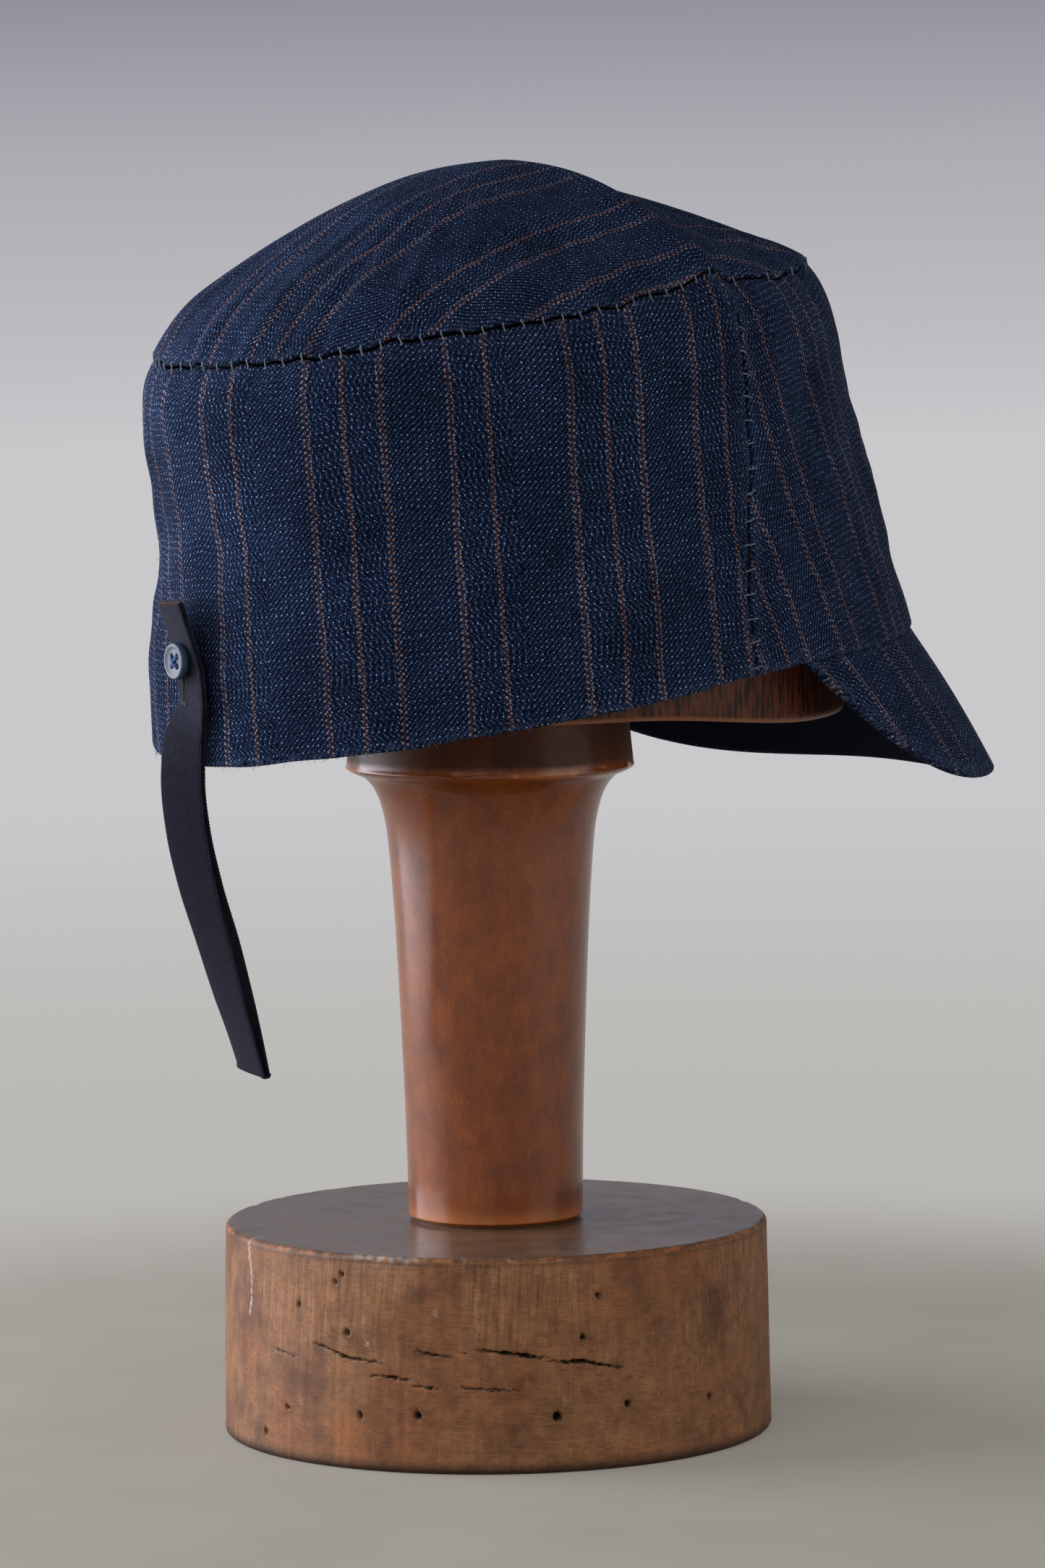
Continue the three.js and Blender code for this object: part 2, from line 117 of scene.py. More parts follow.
def through(xs, ys, x):  # smooth curve through the points, level at each highest and lowest one
    xs, ys, x = (np.asarray(a, float) for a in (xs, ys, x))
    slope = np.diff(ys) / np.diff(xs)
    tangent = np.concatenate([slope[:1], np.zeros(len(xs) - 2), slope[-1:]])
    before, after = slope[:-1], slope[1:]
    same = before * after > 0
    tangent[1:-1] = np.where(same, 2 * before * after / np.where(same, before + after, 1), 0)
    low = np.clip(np.searchsorted(xs, x, side="right") - 1, 0, len(xs) - 2)
    span = xs[low + 1] - xs[low]
    t = np.clip((x - xs[low]) / span, 0, 1)
    rise = (ys[low + 1] - ys[low]) * t * t * (3 - 2 * t)
    bend = t * (1 - t) ** 2 * tangent[low] + t * t * (t - 1) * tangent[low + 1]
    return ys[low] + rise + span * bend


def tableValue(rows, index, x):  # the same curve through one column of a table, over its first column
    return through([row[0] for row in rows], [row[index] for row in rows], x)


def edgedSteps(count, length, rim=(0.0, 0.07, 0.27, 0.6)):  # even steps, finer where an edge rolls over
    fine = np.array(rim) / length
    even = np.linspace(1 / length, 1 - 1 / length, count)
    return np.concatenate([fine, even, 1 - fine[::-1]])


def waves(x, y, seed, size, count=7):  # unevenness of about one millimetre, waves of this size
    draw = np.random.default_rng(seed)
    total = 0
    for _ in range(count):
        heading = draw.uniform(0, 2 * np.pi)
        length = size * draw.uniform(0.7, 1.6)
        phase = (x * np.cos(heading) + y * np.sin(heading)) * 2 * np.pi / length
        total = total + np.sin(phase + draw.uniform(0, 2 * np.pi))
    return total / math.sqrt(count)


def travelled(points, axis=0):  # length along a line of points, from its start
    run = np.linalg.norm(np.diff(points, axis=axis), axis=-1)
    return np.insert(np.cumsum(run, axis=axis), 0, 0, axis=axis)


def most(*layers):  # the greatest value at each place
    return functools.reduce(np.maximum, layers)


def gridFaces(columns, rows, wraps=False):
    c, r = np.meshgrid(np.arange(columns if wraps else columns - 1), np.arange(rows - 1), indexing="ij")
    c, r = c.ravel(), r.ravel()
    nextC = (c + 1) % columns
    return np.stack([c * rows + r, c * rows + r + 1, nextC * rows + r + 1, nextC * rows + r], 1)


def newMesh(name, points, faces):
    mesh = bpy.data.meshes.new(name)
    places = np.asarray(points).reshape(-1, 3) * mm
    mesh.from_pydata(places.tolist(), [], [list(map(int, face)) for face in faces])
    return mesh


def weldMesh(mesh, within):
    welded = bmesh.new()
    welded.from_mesh(mesh)
    bmesh.ops.remove_doubles(welded, verts=welded.verts, dist=within * mm)
    bmesh.ops.dissolve_degenerate(welded, edges=welded.edges, dist=1e-8)
    welded.to_mesh(mesh)
    welded.free()


def smoothShade(mesh, sharpAngle=None):
    mesh.shade_smooth()
    if sharpAngle:
        mesh.set_sharp_from_angle(angle=math.radians(sharpAngle))


def addPiece(name, points, faces, material, slotName, stands=(), layers=None, weld=0.0, sharpAngle=None):
    mesh = newMesh(name, points, faces)
    for label, values in (layers or {}).items():
        layer = mesh.attributes.new(label, "FLOAT_VECTOR", "POINT")
        layer.data.foreach_set("vector", np.asarray(values, np.float32).ravel())
    if weld:
        weldMesh(mesh, weld)
    mesh.validate()
    smoothShade(mesh, sharpAngle)
    mesh.materials.append(material)
    made = addObject(name, mesh)
    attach(made, "root")
    if stands:
        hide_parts(*stands)
    return made


def addTurned(name, points, material, slotName, node, layers=None, weld=0.004, sharpAngle=None):
    faces = gridFaces(*points.shape[:2], True)
    return addPiece(name, points, faces, material, slotName, [node], layers, weld, sharpAngle)


def surfaceNormals(points, wraps=False):
    if wraps:
        acrossStep = np.roll(points, -1, 0) - np.roll(points, 1, 0)
    else:
        acrossStep = np.gradient(points, axis=0)
    return unit(np.cross(np.gradient(points, axis=1), acrossStep))


# two skins of cloth that meet in a rolled edge
def clothShell(points, thickness, fromEdge, wraps=False, normals=None):
    if normals is None:
        normals = surfaceNormals(points, wraps)
    half = np.asarray(thickness) / 2 * np.ones(points.shape[:2])
    roll = np.clip(1 - fromEdge / half, 0, 1)
    bite = half * (1 - np.sqrt(1 - roll**2))
    outer = points - normals * bite[..., None]
    inner = points - normals * (2 * half - bite)[..., None]
    faces = gridFaces(*points.shape[:2], wraps)
    count = points.shape[0] * points.shape[1]
    allFaces = np.concatenate([faces, faces[:, ::-1] + count])
    return np.concatenate([outer.reshape(-1, 3), inner.reshape(-1, 3)]), allFaces


def tubes(paths, radius, sides):  # closed tubes along paths of equal length, shape (how many, points, 3)
    paths = np.asarray(paths, float)
    many, count = paths.shape[:2]
    heading = unit(np.gradient(paths, axis=1))
    first = unit(np.cross(heading, unit(np.array([0.31, 0.52, 0.79]))))
    second = np.cross(heading, first)
    turn = np.arange(sides) * 2 * np.pi / sides
    ring = first[:, :, None] * np.cos(turn)[:, None] + second[:, :, None] * np.sin(turn)[:, None]
    radius = np.broadcast_to(radius, (many, count))
    points = (paths[:, :, None] + ring * radius[..., None, None]).reshape(-1, 3)
    k, n, s = np.meshgrid(np.arange(many), np.arange(count - 1), np.arange(sides), indexing="ij")

    def corner(along, around):
        return ((k * count + along) * sides + around % sides).ravel()

    walls = np.stack([corner(n, s), corner(n, s + 1), corner(n + 1, s + 1), corner(n + 1, s)], 1)
    faces = walls.tolist()
    for tube in range(many):
        start = tube * count * sides
        end = start + (count - 1) * sides
        faces.append(list(range(start + sides - 1, start - 1, -1)))
        faces.append(list(range(end, end + sides)))
    return points, faces


def joined(shapes):  # several shapes as one list of points and one of faces
    points, faces, count = [], [], 0
    for shapePoints, shapeFaces in shapes:
        points.append(shapePoints)
        faces += [[count + corner for corner in face] for face in shapeFaces]
        count += len(shapePoints)
    return np.concatenate(points), faces


def smoothPath(points, count):
    points = np.asarray(points, float)
    run = travelled(points)
    steps = np.linspace(0, run[-1], count)
    return np.stack([through(run, points[:, axis], steps) for axis in range(3)], -1)


def thicken(points, faces, normals, half):  # both sides of an open sheet, closed along every free edge
    offset = normals * np.asarray(half)[:, None]
    count = len(points)
    edges = {(int(f[k]), int(f[(k + 1) % 4])) for f in faces for k in range(4)}
    walls = [(b, a, a + count, b + count) for a, b in edges if (b, a) not in edges]
    allFaces = np.concatenate([faces, faces[:, ::-1] + count, sorted(walls)])
    return np.concatenate([points + offset, points - offset]), allFaces


def turnedGrid(radius, up, turns):  # lathe work: turns go clockwise from above, rows from the foot upwards
    if np.isscalar(turns):
        turns = np.linspace(0, -2 * np.pi, turns, endpoint=False)
    heading = toCamera * np.cos(turns)[:, None] + cameraSide * np.sin(turns)[:, None]
    return heading[:, None, :] * np.asarray(radius)[..., None] + upward * np.asarray(up)[..., None]


# Materials
def colour(hexCode):  # sRGB hex to linear
    parts = [int(hexCode[i:i + 2], 16) / 255 for i in (1, 3, 5)]
    return [p / 12.92 if p <= 0.04045 else ((p + 0.055) / 1.055) ** 2.4 for p in parts] + [1.0]


def fill(tree, node, sockets):  # sets or links sockets by place or name; a text is a hex colour
    for name, value in sockets.items():
        socket = node.inputs[name if isinstance(name, int) else name.replace("_", " ")]
        if isinstance(value, bpy.types.Node):
            value = value.outputs[0]
        if isinstance(value, bpy.types.NodeSocket):
            tree.links.new(value, socket)
        else:
            socket.default_value = colour(value) if isinstance(value, str) else value


# what the second word of a node's kind sets, where it is not the operation
secondWord = {
    "MapRange": "interpolation_type",
    "TexWhiteNoise": "noise_dimensions",
    "Attribute": "attribute_name",
}


def addNode(tree, kind, *values, **named):  # values fill the sockets in their order
    kind, _, mode = kind.partition(" ")
    made = tree.nodes.new("ShaderNode" + kind)
    if mode:
        setattr(made, secondWord.get(kind, "operation"), mode)
    fill(tree, made, dict(enumerate(values)) | named)
    return made


def startMaterial(name):
    material = bpy.data.materials.new(name)
    material.use_nodes = True
    return material, functools.partial(addNode, material.node_tree)


def finishMaterial(material, relief=None, strength=0.0, depth=0.0, **sockets):  # depth of the relief in mm
    tree = material.node_tree
    if relief:
        sockets["Normal"] = addNode(tree, "Bump", Strength=strength, Distance=depth * mm, Height=relief)
    fill(tree, tree.nodes["Principled BSDF"], sockets)
    return material


# Indigo denim with a rope stripe, woven in a 2/1 twill of dark warp and paler weft: up close the weft shows
# as slanting rows of small dots on navy, every third row pale, and the stripes as columns of undyed beads.
denim = {
    "warpSpacing": 0.48,  # mm
    "weftSpacing": 0.52,
    "repeat": 64.35,
    "thickStripes": [0.0, 18.5, 34.8],
    "thinStripes": [9.25, 44.1],
    "mixedBands": [(0.0, 18.5), (34.8, 49.5)],  # the weave is broken up here and shows no diagonal
    "lead": 5.0,  # the repeat starts this far before its first stripe
    "beadPitch": 1.56,
    "warp": "#050b1c",
    "ridge": "#182540",
    "weft": "#22334d",
    "paleWeft": "#8496b3",
    "bead": "#8e766f",
    "rust": "#452a24",
    "copper": "#895f4d",
    "worn": "#3b4863",
    # painted shade for the peak's underside
    "paintedUnderShade": "#0d0f16",
}


def stripedDenim():
    material, add = startMaterial("indigoDenimTwill")
    place = add("Attribute cloth").outputs["Vector"]
    wander = add("TexNoise", place, Scale=0.045, Detail=2.0)
    shift = add("VectorMath MULTIPLY", wander.outputs["Color"], (1.6, 0.0, 0.0))
    woven = add("VectorMath ADD", place, shift)
    across, along, worn = add("SeparateXYZ", woven).outputs

    # threads: which warp and weft cross here, and the place inside their crossing
    perThread = (1 / denim["warpSpacing"], 1 / denim["weftSpacing"], 0.0)
    crooked = add("TexNoise", place, Scale=0.6, Detail=2.0)
    crooked = add("VectorMath MULTIPLY_ADD", crooked.outputs["Color"], (0.8, 0.9, 0.0), woven)
    threads = add("VectorMath MULTIPLY", crooked, perThread)
    crossing = add("VectorMath FLOOR", threads)
    inside = add("VectorMath FRACTION", threads)
    offCentre = add("VectorMath SUBTRACT", inside, (0.5, 0.5, 0.0))
    speck = add("TexWhiteNoise 2D", crossing)
    stray = add("VectorMath SUBTRACT", speck.outputs["Color"], (0.5, 0.5, 0.0))
    stray = add("VectorMath MULTIPLY_ADD", stray, (0.5, 0.5, 0.0), offCentre)
    lengthwise = add("VectorMath DOT_PRODUCT", stray, (0.62, -0.62, 0.0))
    breadthwise = add("VectorMath DOT_PRODUCT", stray, (0.86, 0.86, 0.0))
    slanted = add("CombineXYZ", lengthwise.outputs["Value"], breadthwise.outputs["Value"])
    distance = add("VectorMath LENGTH", slanted).outputs["Value"]
    dot = add("MapRange SMOOTHSTEP", distance, 0.66, 0.16)
    warpNumber, weftNumber, _ = add("SeparateXYZ", crossing).outputs
    oddWeft = add("TexWhiteNoise 1D", W=weftNumber)
    jump = add("Math FLOOR", add("Math MULTIPLY", oddWeft, 3.0))

    # the stripes' places in the repeat
    moved = add("Math ADD", across, denim["lead"])
    inRepeat = add("Math SUBTRACT", add("Math FLOORED_MODULO", moved, denim["repeat"]), denim["lead"])
    stripes = {}
    for name, halfWidth in (("thick", 1.4), ("thin", 0.8)):
        offset, inStripe = 0.0, 0.0
        for middle in denim[name + "Stripes"]:
            away = add("Math SUBTRACT", inRepeat, middle)
            here = add("Math COMPARE", away, 0.0, halfWidth)
            offset = add("Math MULTIPLY_ADD", away, here, offset)
            inStripe = add("Math ADD", here, inStripe)
        stripes[name] = offset, inStripe
    mixedUp = 0.0
    for start, end in denim["mixedBands"]:
        away = add("Math MULTIPLY_ADD", speck, 1.8, add("Math SUBTRACT", inRepeat, (start + end) / 2))
        here = add("Math COMPARE", away, 0.9, (end - start) / 2)
        mixedUp = add("Math ADD", here, mixedUp)

    # weft on top: every third crossing, stepping along the diagonal, or at random in the mixed bands
    step = add("Math SUBTRACT", warpNumber, weftNumber)
    oddStep = add("Math ADD", warpNumber, jump)
    change = add("Math SUBTRACT", oddStep, step)
    step = add("Math MULTIPLY_ADD", change, mixedUp, step)
    third = add("Math FLOORED_MODULO", step, 3.0)
    weftOnTop = add("Math LESS_THAN", third, 0.5)
    paleRow = add("Math LESS_THAN", add("Math FLOORED_MODULO", weftNumber, 3.0), 0.5)
    paleness = add("MapRange", speck, 0.0, 1.0, 0.1, 0.9)
    paleRow = add("MapRange", paleRow, 0.0, 1.0, 0.16, 1.0)
    paleness = add("Math MULTIPLY", paleness, paleRow)
    weftColour = add("MixRGB", paleness, denim["weft"], denim["paleWeft"])
    shown = add("Math MULTIPLY", dot, weftOnTop)

    # the slanting ridge that the dots sit on, broken into specks in the mixed bands
    warps, wefts, _ = add("SeparateXYZ", threads).outputs
    slant = add("Math SUBTRACT", warps, wefts)
    ripple = add("TexNoise", place, Scale=0.8, Detail=2.0)
    slant = add("Math MULTIPLY_ADD", ripple, 1.3, slant)
    fromRidge = add("Math PINGPONG", slant, 1.5)
    ridge = add("MapRange SMOOTHSTEP", fromRidge, 0.95, 0.2)
    broken = add("Math MULTIPLY", speck, dot)
    uneven = add("Math MULTIPLY_ADD", broken, 0.9, 0.5)
    ridge = add("MixRGB", mixedUp, add("Math MULTIPLY", ridge, uneven), broken)
    ground = add("MixRGB", shown, add("MixRGB", ridge, denim["warp"], denim["ridge"]), weftColour)

    # beads: columns beside the stripe's middle, the two columns out of step
    beads = add("Math MULTIPLY", along, 1 / denim["beadPitch"])
    striped = ground
    raised = shown
    # kind, columns' distance from the middle, their steps, bead size, copper in both and in the right column
    kinds = [("thick", 0.6, 0.13, 0.33, -0.3, 0.0), ("thin", 0.36, 0.25, 0.32, 0.2, 0.2)]
    for name, apart, outOfStep, size, copperShare, copperSide in kinds:
        offset, inStripe = stripes[name]
        side = add("Math SIGN", offset)
        fromMiddle = add("Math ABSOLUTE", offset)
        fromColumn = add("Math SUBTRACT", fromMiddle, apart)
        beadRow = add("Math MULTIPLY_ADD", side, outOfStep, beads)
        beadPlace = add("Math SUBTRACT", add("Math FRACT", beadRow), 0.5)
        beadPlace = add("Math MULTIPLY", beadPlace, 0.85 * denim["beadPitch"])
        spot = add("VectorMath LENGTH", add("CombineXYZ", fromColumn, beadPlace)).outputs["Value"]
        bead = add("Math MULTIPLY", add("MapRange SMOOTHSTEP", spot, size + 0.06, size - 0.24), inStripe)
        number = add("CombineXYZ", add("Math FLOOR", beadRow), side)
        tone = add("TexWhiteNoise 2D", number)
        pick = add("SeparateXYZ", tone.outputs["Color"]).outputs["Y"]
        tone = add("MapRange", tone, 0.0, 1.0, 0.42, 0.95)
        core = add("MapRange SMOOTHSTEP", fromMiddle, 0.34, 0.08, 0.0, 0.8)
        beat = add("MapRange SMOOTHSTEP", add("Math PINGPONG", beads, 0.25), 0.06, 0.2)
        core = add("Math MULTIPLY", add("Math MULTIPLY", core, beat), inStripe)
        pick = add("Math MULTIPLY_ADD", side, copperSide, pick)
        inCopper = add("MapRange", pick, 0.5 - copperShare, 0.8 - copperShare)
        strand = add("MixRGB", inCopper, denim["bead"], denim["copper"])
        strand = add("VectorMath SCALE", strand, Scale=tone)
        striped = add("MixRGB", bead, add("MixRGB", core, striped, denim["rust"]), strand)
        raised = add("Math MAXIMUM", raised, bead)

    # uneven yarn and dye, and paler cloth where edges have rubbed
    slub = add("TexNoise", add("VectorMath MULTIPLY", place, (0.12, 1.9, 0.0)), Scale=1.0, Detail=3.0)
    slub = add("MapRange", slub, 0.3, 0.7, 0.72, 1.3)
    fade = add("MapRange", add("TexNoise", place, Scale=0.042, Detail=3.0), 0.3, 0.7, 0.7, 1.34)
    fuzz = add("MapRange", add("TexNoise", place, Scale=1.7, Detail=3.0), 0.3, 0.7, 0.6, 1.45)
    strength = add("Math MULTIPLY", add("Math MULTIPLY", slub, fade), fuzz)
    dyed = add("VectorMath SCALE", striped, Scale=strength)
    rubbed = add("MapRange", add("TexNoise", place, Scale=0.9, Detail=3.0), 0.42, 0.68)
    rubbed = add("Math MAXIMUM", add("Math MULTIPLY", rubbed, worn), 0.0)
    finished = add("MixRGB", rubbed, dyed, denim["worn"])
    # painted shade: where the cloth's third value is below zero, on the peak's underside, the cloth turns
    # plain and dark
    underShade = add("MapRange", worn, 0.0, -1.0, 0.0, 1.0)
    finished = add("MixRGB", underShade, finished, denim["paintedUnderShade"])
    relief = add("Math MULTIPLY_ADD", ridge, 0.6, raised)
    return finishMaterial(
        material, relief, 0.5, 0.12, Base_Color=finished, Roughness=0.9, IOR=1.5, Specular_IOR_Level=0.03,
        Sheen_Weight=0.02, Sheen_Roughness=0.5, Sheen_Tint="#7f93c4")


denimCloth = stripedDenim()
print("denim woven")


def edgeWear(wear, fromEdge):  # strength, middle and spread of the paler cloth beside an edge
    strength, middle, spread = wear
    return strength * bell(fromEdge - middle, spread)


def addCloth(name, shell, across, along, worn, underShade=None):  # each point keeps its place on the flat cloth
    outer = np.stack([across, along, worn], -1).reshape(-1, 3)
    inner = outer if underShade is None else np.stack([across, along, underShade], -1).reshape(-1, 3)
    layers = {"cloth": np.concatenate([outer, inner])}
    return addPiece(name + "_cloth", *shell, denimCloth, "striped_denim", [name], layers, weld=0.005)


# Crown of the cap: a wall that leans in from the hem to the seam under the tip
crown = {
    "hem": {"forward": 14.7, "halfLength": 105.5, "halfWidth": 83.5},
    "seam": {"forward": -0.35, "halfLength": 89.45, "halfWidth": 71.0},
    "apexForward": 7.0,
    "apexUp": 330.8,
    "thickness": 2.0,
    "gap": 0.3,
    "shoulderBulge": 3.3,
    "shoulderSharpness": 5,
    "rollFront": 1.4,  # the tip swells above its seam too, more behind
    "rollBack": 3.4,
    "rollLean": 0.7,
    "seamWave": 0.5,
    "creaseLift": 1.6,
    "creaseSpread": 9.0,
    "valley": 1.3,
    "valleyAngle": 3.5,
    "stitchPitch": 5.2,
    "pucker": 0.32,
    "slant": 98.0,  # height of the wall along its slope
    "rows": 74,
    "seamGap": 0.12,  # degrees on each side of the side seam
    "coneRadius": 750.0,  # how strongly the flat cloth of a panel is curved
    "hemWear": (0.55, 0.0, 1.6),
    "topWear": (0.15, 2.5, 2.0),
    "sideWear": (0.3, 1.6, 1.5),
}
# angle from the front, hem height, seam height, fullness of the tip above
crownSections = [
    (0, 209.0, 304.3, 1.2),
    (30, 207.5, 302.8, 1.22),
    (57, 204.7, 300.2, 1.38),
    (68.5, 203.3, 299.8, 1.54),
    (73.5, 202.5, 302.0, 1.65),
    (82.5, 200.7, 298.0, 1.68),
    (102.5, 194.3, 291.6, 1.74),
    (127, 187.6, 287.2, 1.88),
    (152, 182.2, 281.4, 1.95),
    (180, 178.8, 279.6, 1.95),
]
# level up the wall, angle of the side seam there
sideSeamRows = [(0, 83), (0.2, 81), (0.4, 77.4), (0.55, 74.2), (0.7, 73), (0.88, 71.8), (1, 73.5)]
# soft dents and swells: angle, level, out, spread in degrees, reach in levels
wallFolds = [
    (202, 0.5, -1.7, 26, 0.17),
    (205, 0.2, 1.7, 22, 0.16),
    (150, 0.42, 0.9, 10, 0.3),
    (122, 0.6, -1.1, 9, 0.26),
    (100, 0.3, 0.9, 10, 0.22),
    (28, 0.17, -0.3, 16, 0.12),
    (30, 0.42, 1.1, 18, 0.2),
    (300, 0.45, -1.0, 12, 0.25),
    (250, 0.55, -1.1, 11, 0.26),
]


def fromFront(angle):
    return np.abs((angle + 180) % 360 - 180)


def crownValue(index, angle):
    before = (-crownSections[1][0],) + crownSections[1][1:]
    after = (360 - crownSections[-2][0],) + crownSections[-2][1:]
    rows = [before, *crownSections, after]
    return tableValue(rows, index, fromFront(angle))


def ovalPoint(oval, angle, up):
    turn = np.radians(angle)
    return at(oval["forward"] + oval["halfLength"] * np.cos(turn), oval["halfWidth"] * np.sin(turn), up)


def outward(angle):
    turn = np.radians(angle)
    hem = crown["hem"]
    return unit(at(np.cos(turn) / hem["halfLength"], np.sin(turn) / hem["halfWidth"], 0.0))


def hemPoint(angle):
    return ovalPoint(crown["hem"], angle, crownValue(1, angle))


def seamPoint(angle):
    turn = np.radians(angle)
    uneven = crown["seamWave"] * waves(80 * np.cos(turn), 80 * np.sin(turn), 13, 11)
    return ovalPoint(crown["seam"], angle, crownValue(2, angle) + uneven)


def sideSeamAngle(level):
    return tableValue(sideSeamRows, 1, level)


# arc length round the seam and half way up the wall, from the front
roundAngles = np.arange(0, 360.5, 0.5)
seamArc = travelled(seamPoint(roundAngles))
middleArc = travelled((hemPoint(roundAngles) + seamPoint(roundAngles)) / 2)
stitchCount = round(seamArc[-1] / crown["stitchPitch"])


def arcAt(arc, angle):
    return np.interp(angle % 360, roundAngles, arc) + np.floor(angle / 360) * arc[-1]


def stitchPull(angle):  # 1 at each stitch of the tip's seam and 0 half way between
    return 0.5 + 0.5 * np.cos(2 * np.pi * stitchCount * arcAt(seamArc, angle) / seamArc[-1])


def wallPoint(angle, level):
    angle, level = np.broadcast_arrays(np.asarray(angle, float), np.asarray(level, float))
    out = crown["shoulderBulge"] * np.sin(np.pi * level ** crown["shoulderSharpness"])
    edge = np.sin(np.pi * np.clip(level, 0, 1)) ** 0.5
    for foldAngle, foldLevel, foldOut, spread, reach in wallFolds:
        nearby = bell(fromFront(angle - foldAngle), spread)
        out = out + foldOut * edge * nearby * bell(level - foldLevel, reach)
    fromSeam = fromFront(angle) - sideSeamAngle(level)
    out = out - crown["valley"] * np.sin(np.pi * level) * bell(fromSeam, crown["valleyAngle"])
    fromTop = (1 - level) * crown["slant"]
    out = out - crown["pucker"] * stitchPull(angle) * bell(fromTop, 3.0)
    # slow and short waves of slack cloth
    arc = arcAt(middleArc, angle)
    up = level * crown["slant"]
    out = out + edge * (0.42 * waves(arc + 0.5 * up, up, 5, 26) + 0.12 * waves(arc, up - 0.6 * arc, 6, 13))
    hem, seam = hemPoint(angle), seamPoint(angle)
    return hem + (seam - hem) * level[..., None] + outward(angle) * out[..., None]


def coneCloth(arc, along, radius):  # flat cloth of a cone: across and along the stripes, in millimetres
    return (radius + along) * np.sin(arc / radius), radius - (radius + along) * np.cos(arc / radius)


# the two panels of the wall: the angle whose slope lies along the stripes, the cloth's ease and its shift
panels = {
    "rear_panel": {"columns": 400, "grain": 147.0, "ease": 0.967, "shift": 1.7},
    "front_panel": {"columns": 250, "grain": 0.0, "ease": 1.2, "shift": 27.7},
}


def wallCloth(panel, angle, level):
    arc = arcAt(middleArc, panel["grain"]) - arcAt(middleArc, angle)  # more towards the right as it is seen
    across, along = coneCloth(arc * panel["ease"], (0.5 - level) * crown["slant"], crown["coneRadius"])
    return across + panel["shift"], along


def addWall(name):
    panel = panels[name]
    level = edgedSteps(crown["rows"], crown["slant"])[None, :]
    start = sideSeamAngle(level)
    first, last = (start, 360 - start) if name == "rear_panel" else (-start, start)
    first, last = first + crown["seamGap"], last - crown["seamGap"]
    length = float(np.mean(last - first)) * middleArc[-1] / 360
    step = edgedSteps(panel["columns"], length)[:, None]
    angle = first + (last - first) * step
    level = np.broadcast_to(level, angle.shape)
    fromSide = np.minimum(step, 1 - step) * length
    fromRim = np.minimum(level, 1 - level) * crown["slant"]
    shell = clothShell(wallPoint(angle, level), crown["thickness"], np.minimum(fromSide, fromRim))
    worn = edgeWear(crown["hemWear"], level * crown["slant"])
    worn = worn + edgeWear(crown["topWear"], (1 - level) * crown["slant"])
    worn = worn + edgeWear(crown["sideWear"], fromSide)
    return addCloth(name, shell, *wallCloth(panel, angle, level), worn), length


rearWall, rearLength = addWall("rear_panel")
frontWall, frontLength = addWall("front_panel")
print("wall sewn", rearLength, frontLength)


# Tip of the crown
tip = {
    "columns": 560,
    "rows": 72,
    "rimSteps": [0, 0.0008, 0.0032, 0.007],  # the finer rows at its rolled edge, of the way to the apex
    "firstRow": 0.0125,
    "lift": 0.55,
    "over": 0.5,
    "grainTurn": -9.5,
    "stretch": 1.06,
    "shift": 26.9,
    "wear": (0.25, 1.2, 1.5),
}


def tipPoint(angle, reach):
    angle, reach = np.broadcast_arrays(np.asarray(angle, float), np.asarray(reach, float))
    edge = seamPoint(angle)
    peakPlace = at(crown["apexForward"] + 0 * angle, 0.0, edge[..., 2])
    point = edge + (peakPlace - edge) * reach[..., None]
    rise = 1 - (1 - reach) ** crownValue(3, angle)
    corner = sideSeamAngle(1.0)
    fold = crown["creaseLift"] * bell(fromFront(angle) - corner, crown["creaseSpread"])
    low = edge[..., 2] + crown["gap"]
    point[..., 2] = low + (crown["apexUp"] - low) * rise + fold * np.sin(np.pi * reach) ** 2
    roll = crown["rollFront"] + (crown["rollBack"] - crown["rollFront"]) * (1 - np.cos(np.radians(angle))) / 2
    swell = crown["rollLean"] * roll * np.sin(np.pi * (1 - reach) ** crown["shoulderSharpness"])
    point = point + (outward(angle) + upward) * swell[..., None]
    fromSeam = reach * np.linalg.norm((peakPlace - edge)[..., :2], axis=-1)
    rim = bell(fromSeam, 4.0)
    pull = crown["pucker"] * stitchPull(angle) * bell(fromSeam, 3.2)
    point = point + outward(angle) * (tip["over"] * rim - 0.7 * pull)[..., None]
    point[..., 2] += tip["lift"] * rim - 0.8 * pull
    point[..., 2] += 0.4 * smoothStep(fromSeam, 2, 14) * waves(point[..., 0], point[..., 1], 9, 28)
    return point


def addTip():
    angle = np.linspace(0, 360, tip["columns"], endpoint=False)[:, None]
    reach = np.concatenate([tip["rimSteps"], np.linspace(tip["firstRow"], 1, tip["rows"])])[None, :]
    angle, reach = np.broadcast_arrays(angle, reach)
    points = tipPoint(angle, reach)
    fromSeam = travelled(points, 1)
    level = smoothStep(reach, 0.97, 0.995)[..., None]  # the rows shrink to a point at the apex
    normals = unit(surfaceNormals(points, True) * (1 - level) + upward * level)
    shell = clothShell(points, crown["thickness"], fromSeam, True, normals)
    # the cloth lies fore and aft, eased over the dome by the length of each slope down from the apex
    plan = points[..., :2] - np.array([0.0, -crown["apexForward"]])
    flat = np.linalg.norm(plan, axis=-1)
    fromApex = fromSeam[:, -1:] - fromSeam
    eased = plan * (fromApex / np.maximum(flat, 1e-3))[..., None]
    turn = math.radians(tip["grainTurn"])
    across = eased[..., 0] * math.cos(turn) - eased[..., 1] * math.sin(turn)
    along = eased[..., 1] * math.cos(turn) + eased[..., 0] * math.sin(turn)
    worn = edgeWear(tip["wear"], fromSeam)
    return addCloth("crown_tip", shell, across * tip["stretch"] + tip["shift"], along, worn)


crownTip = addTip()
print("tip sewn")


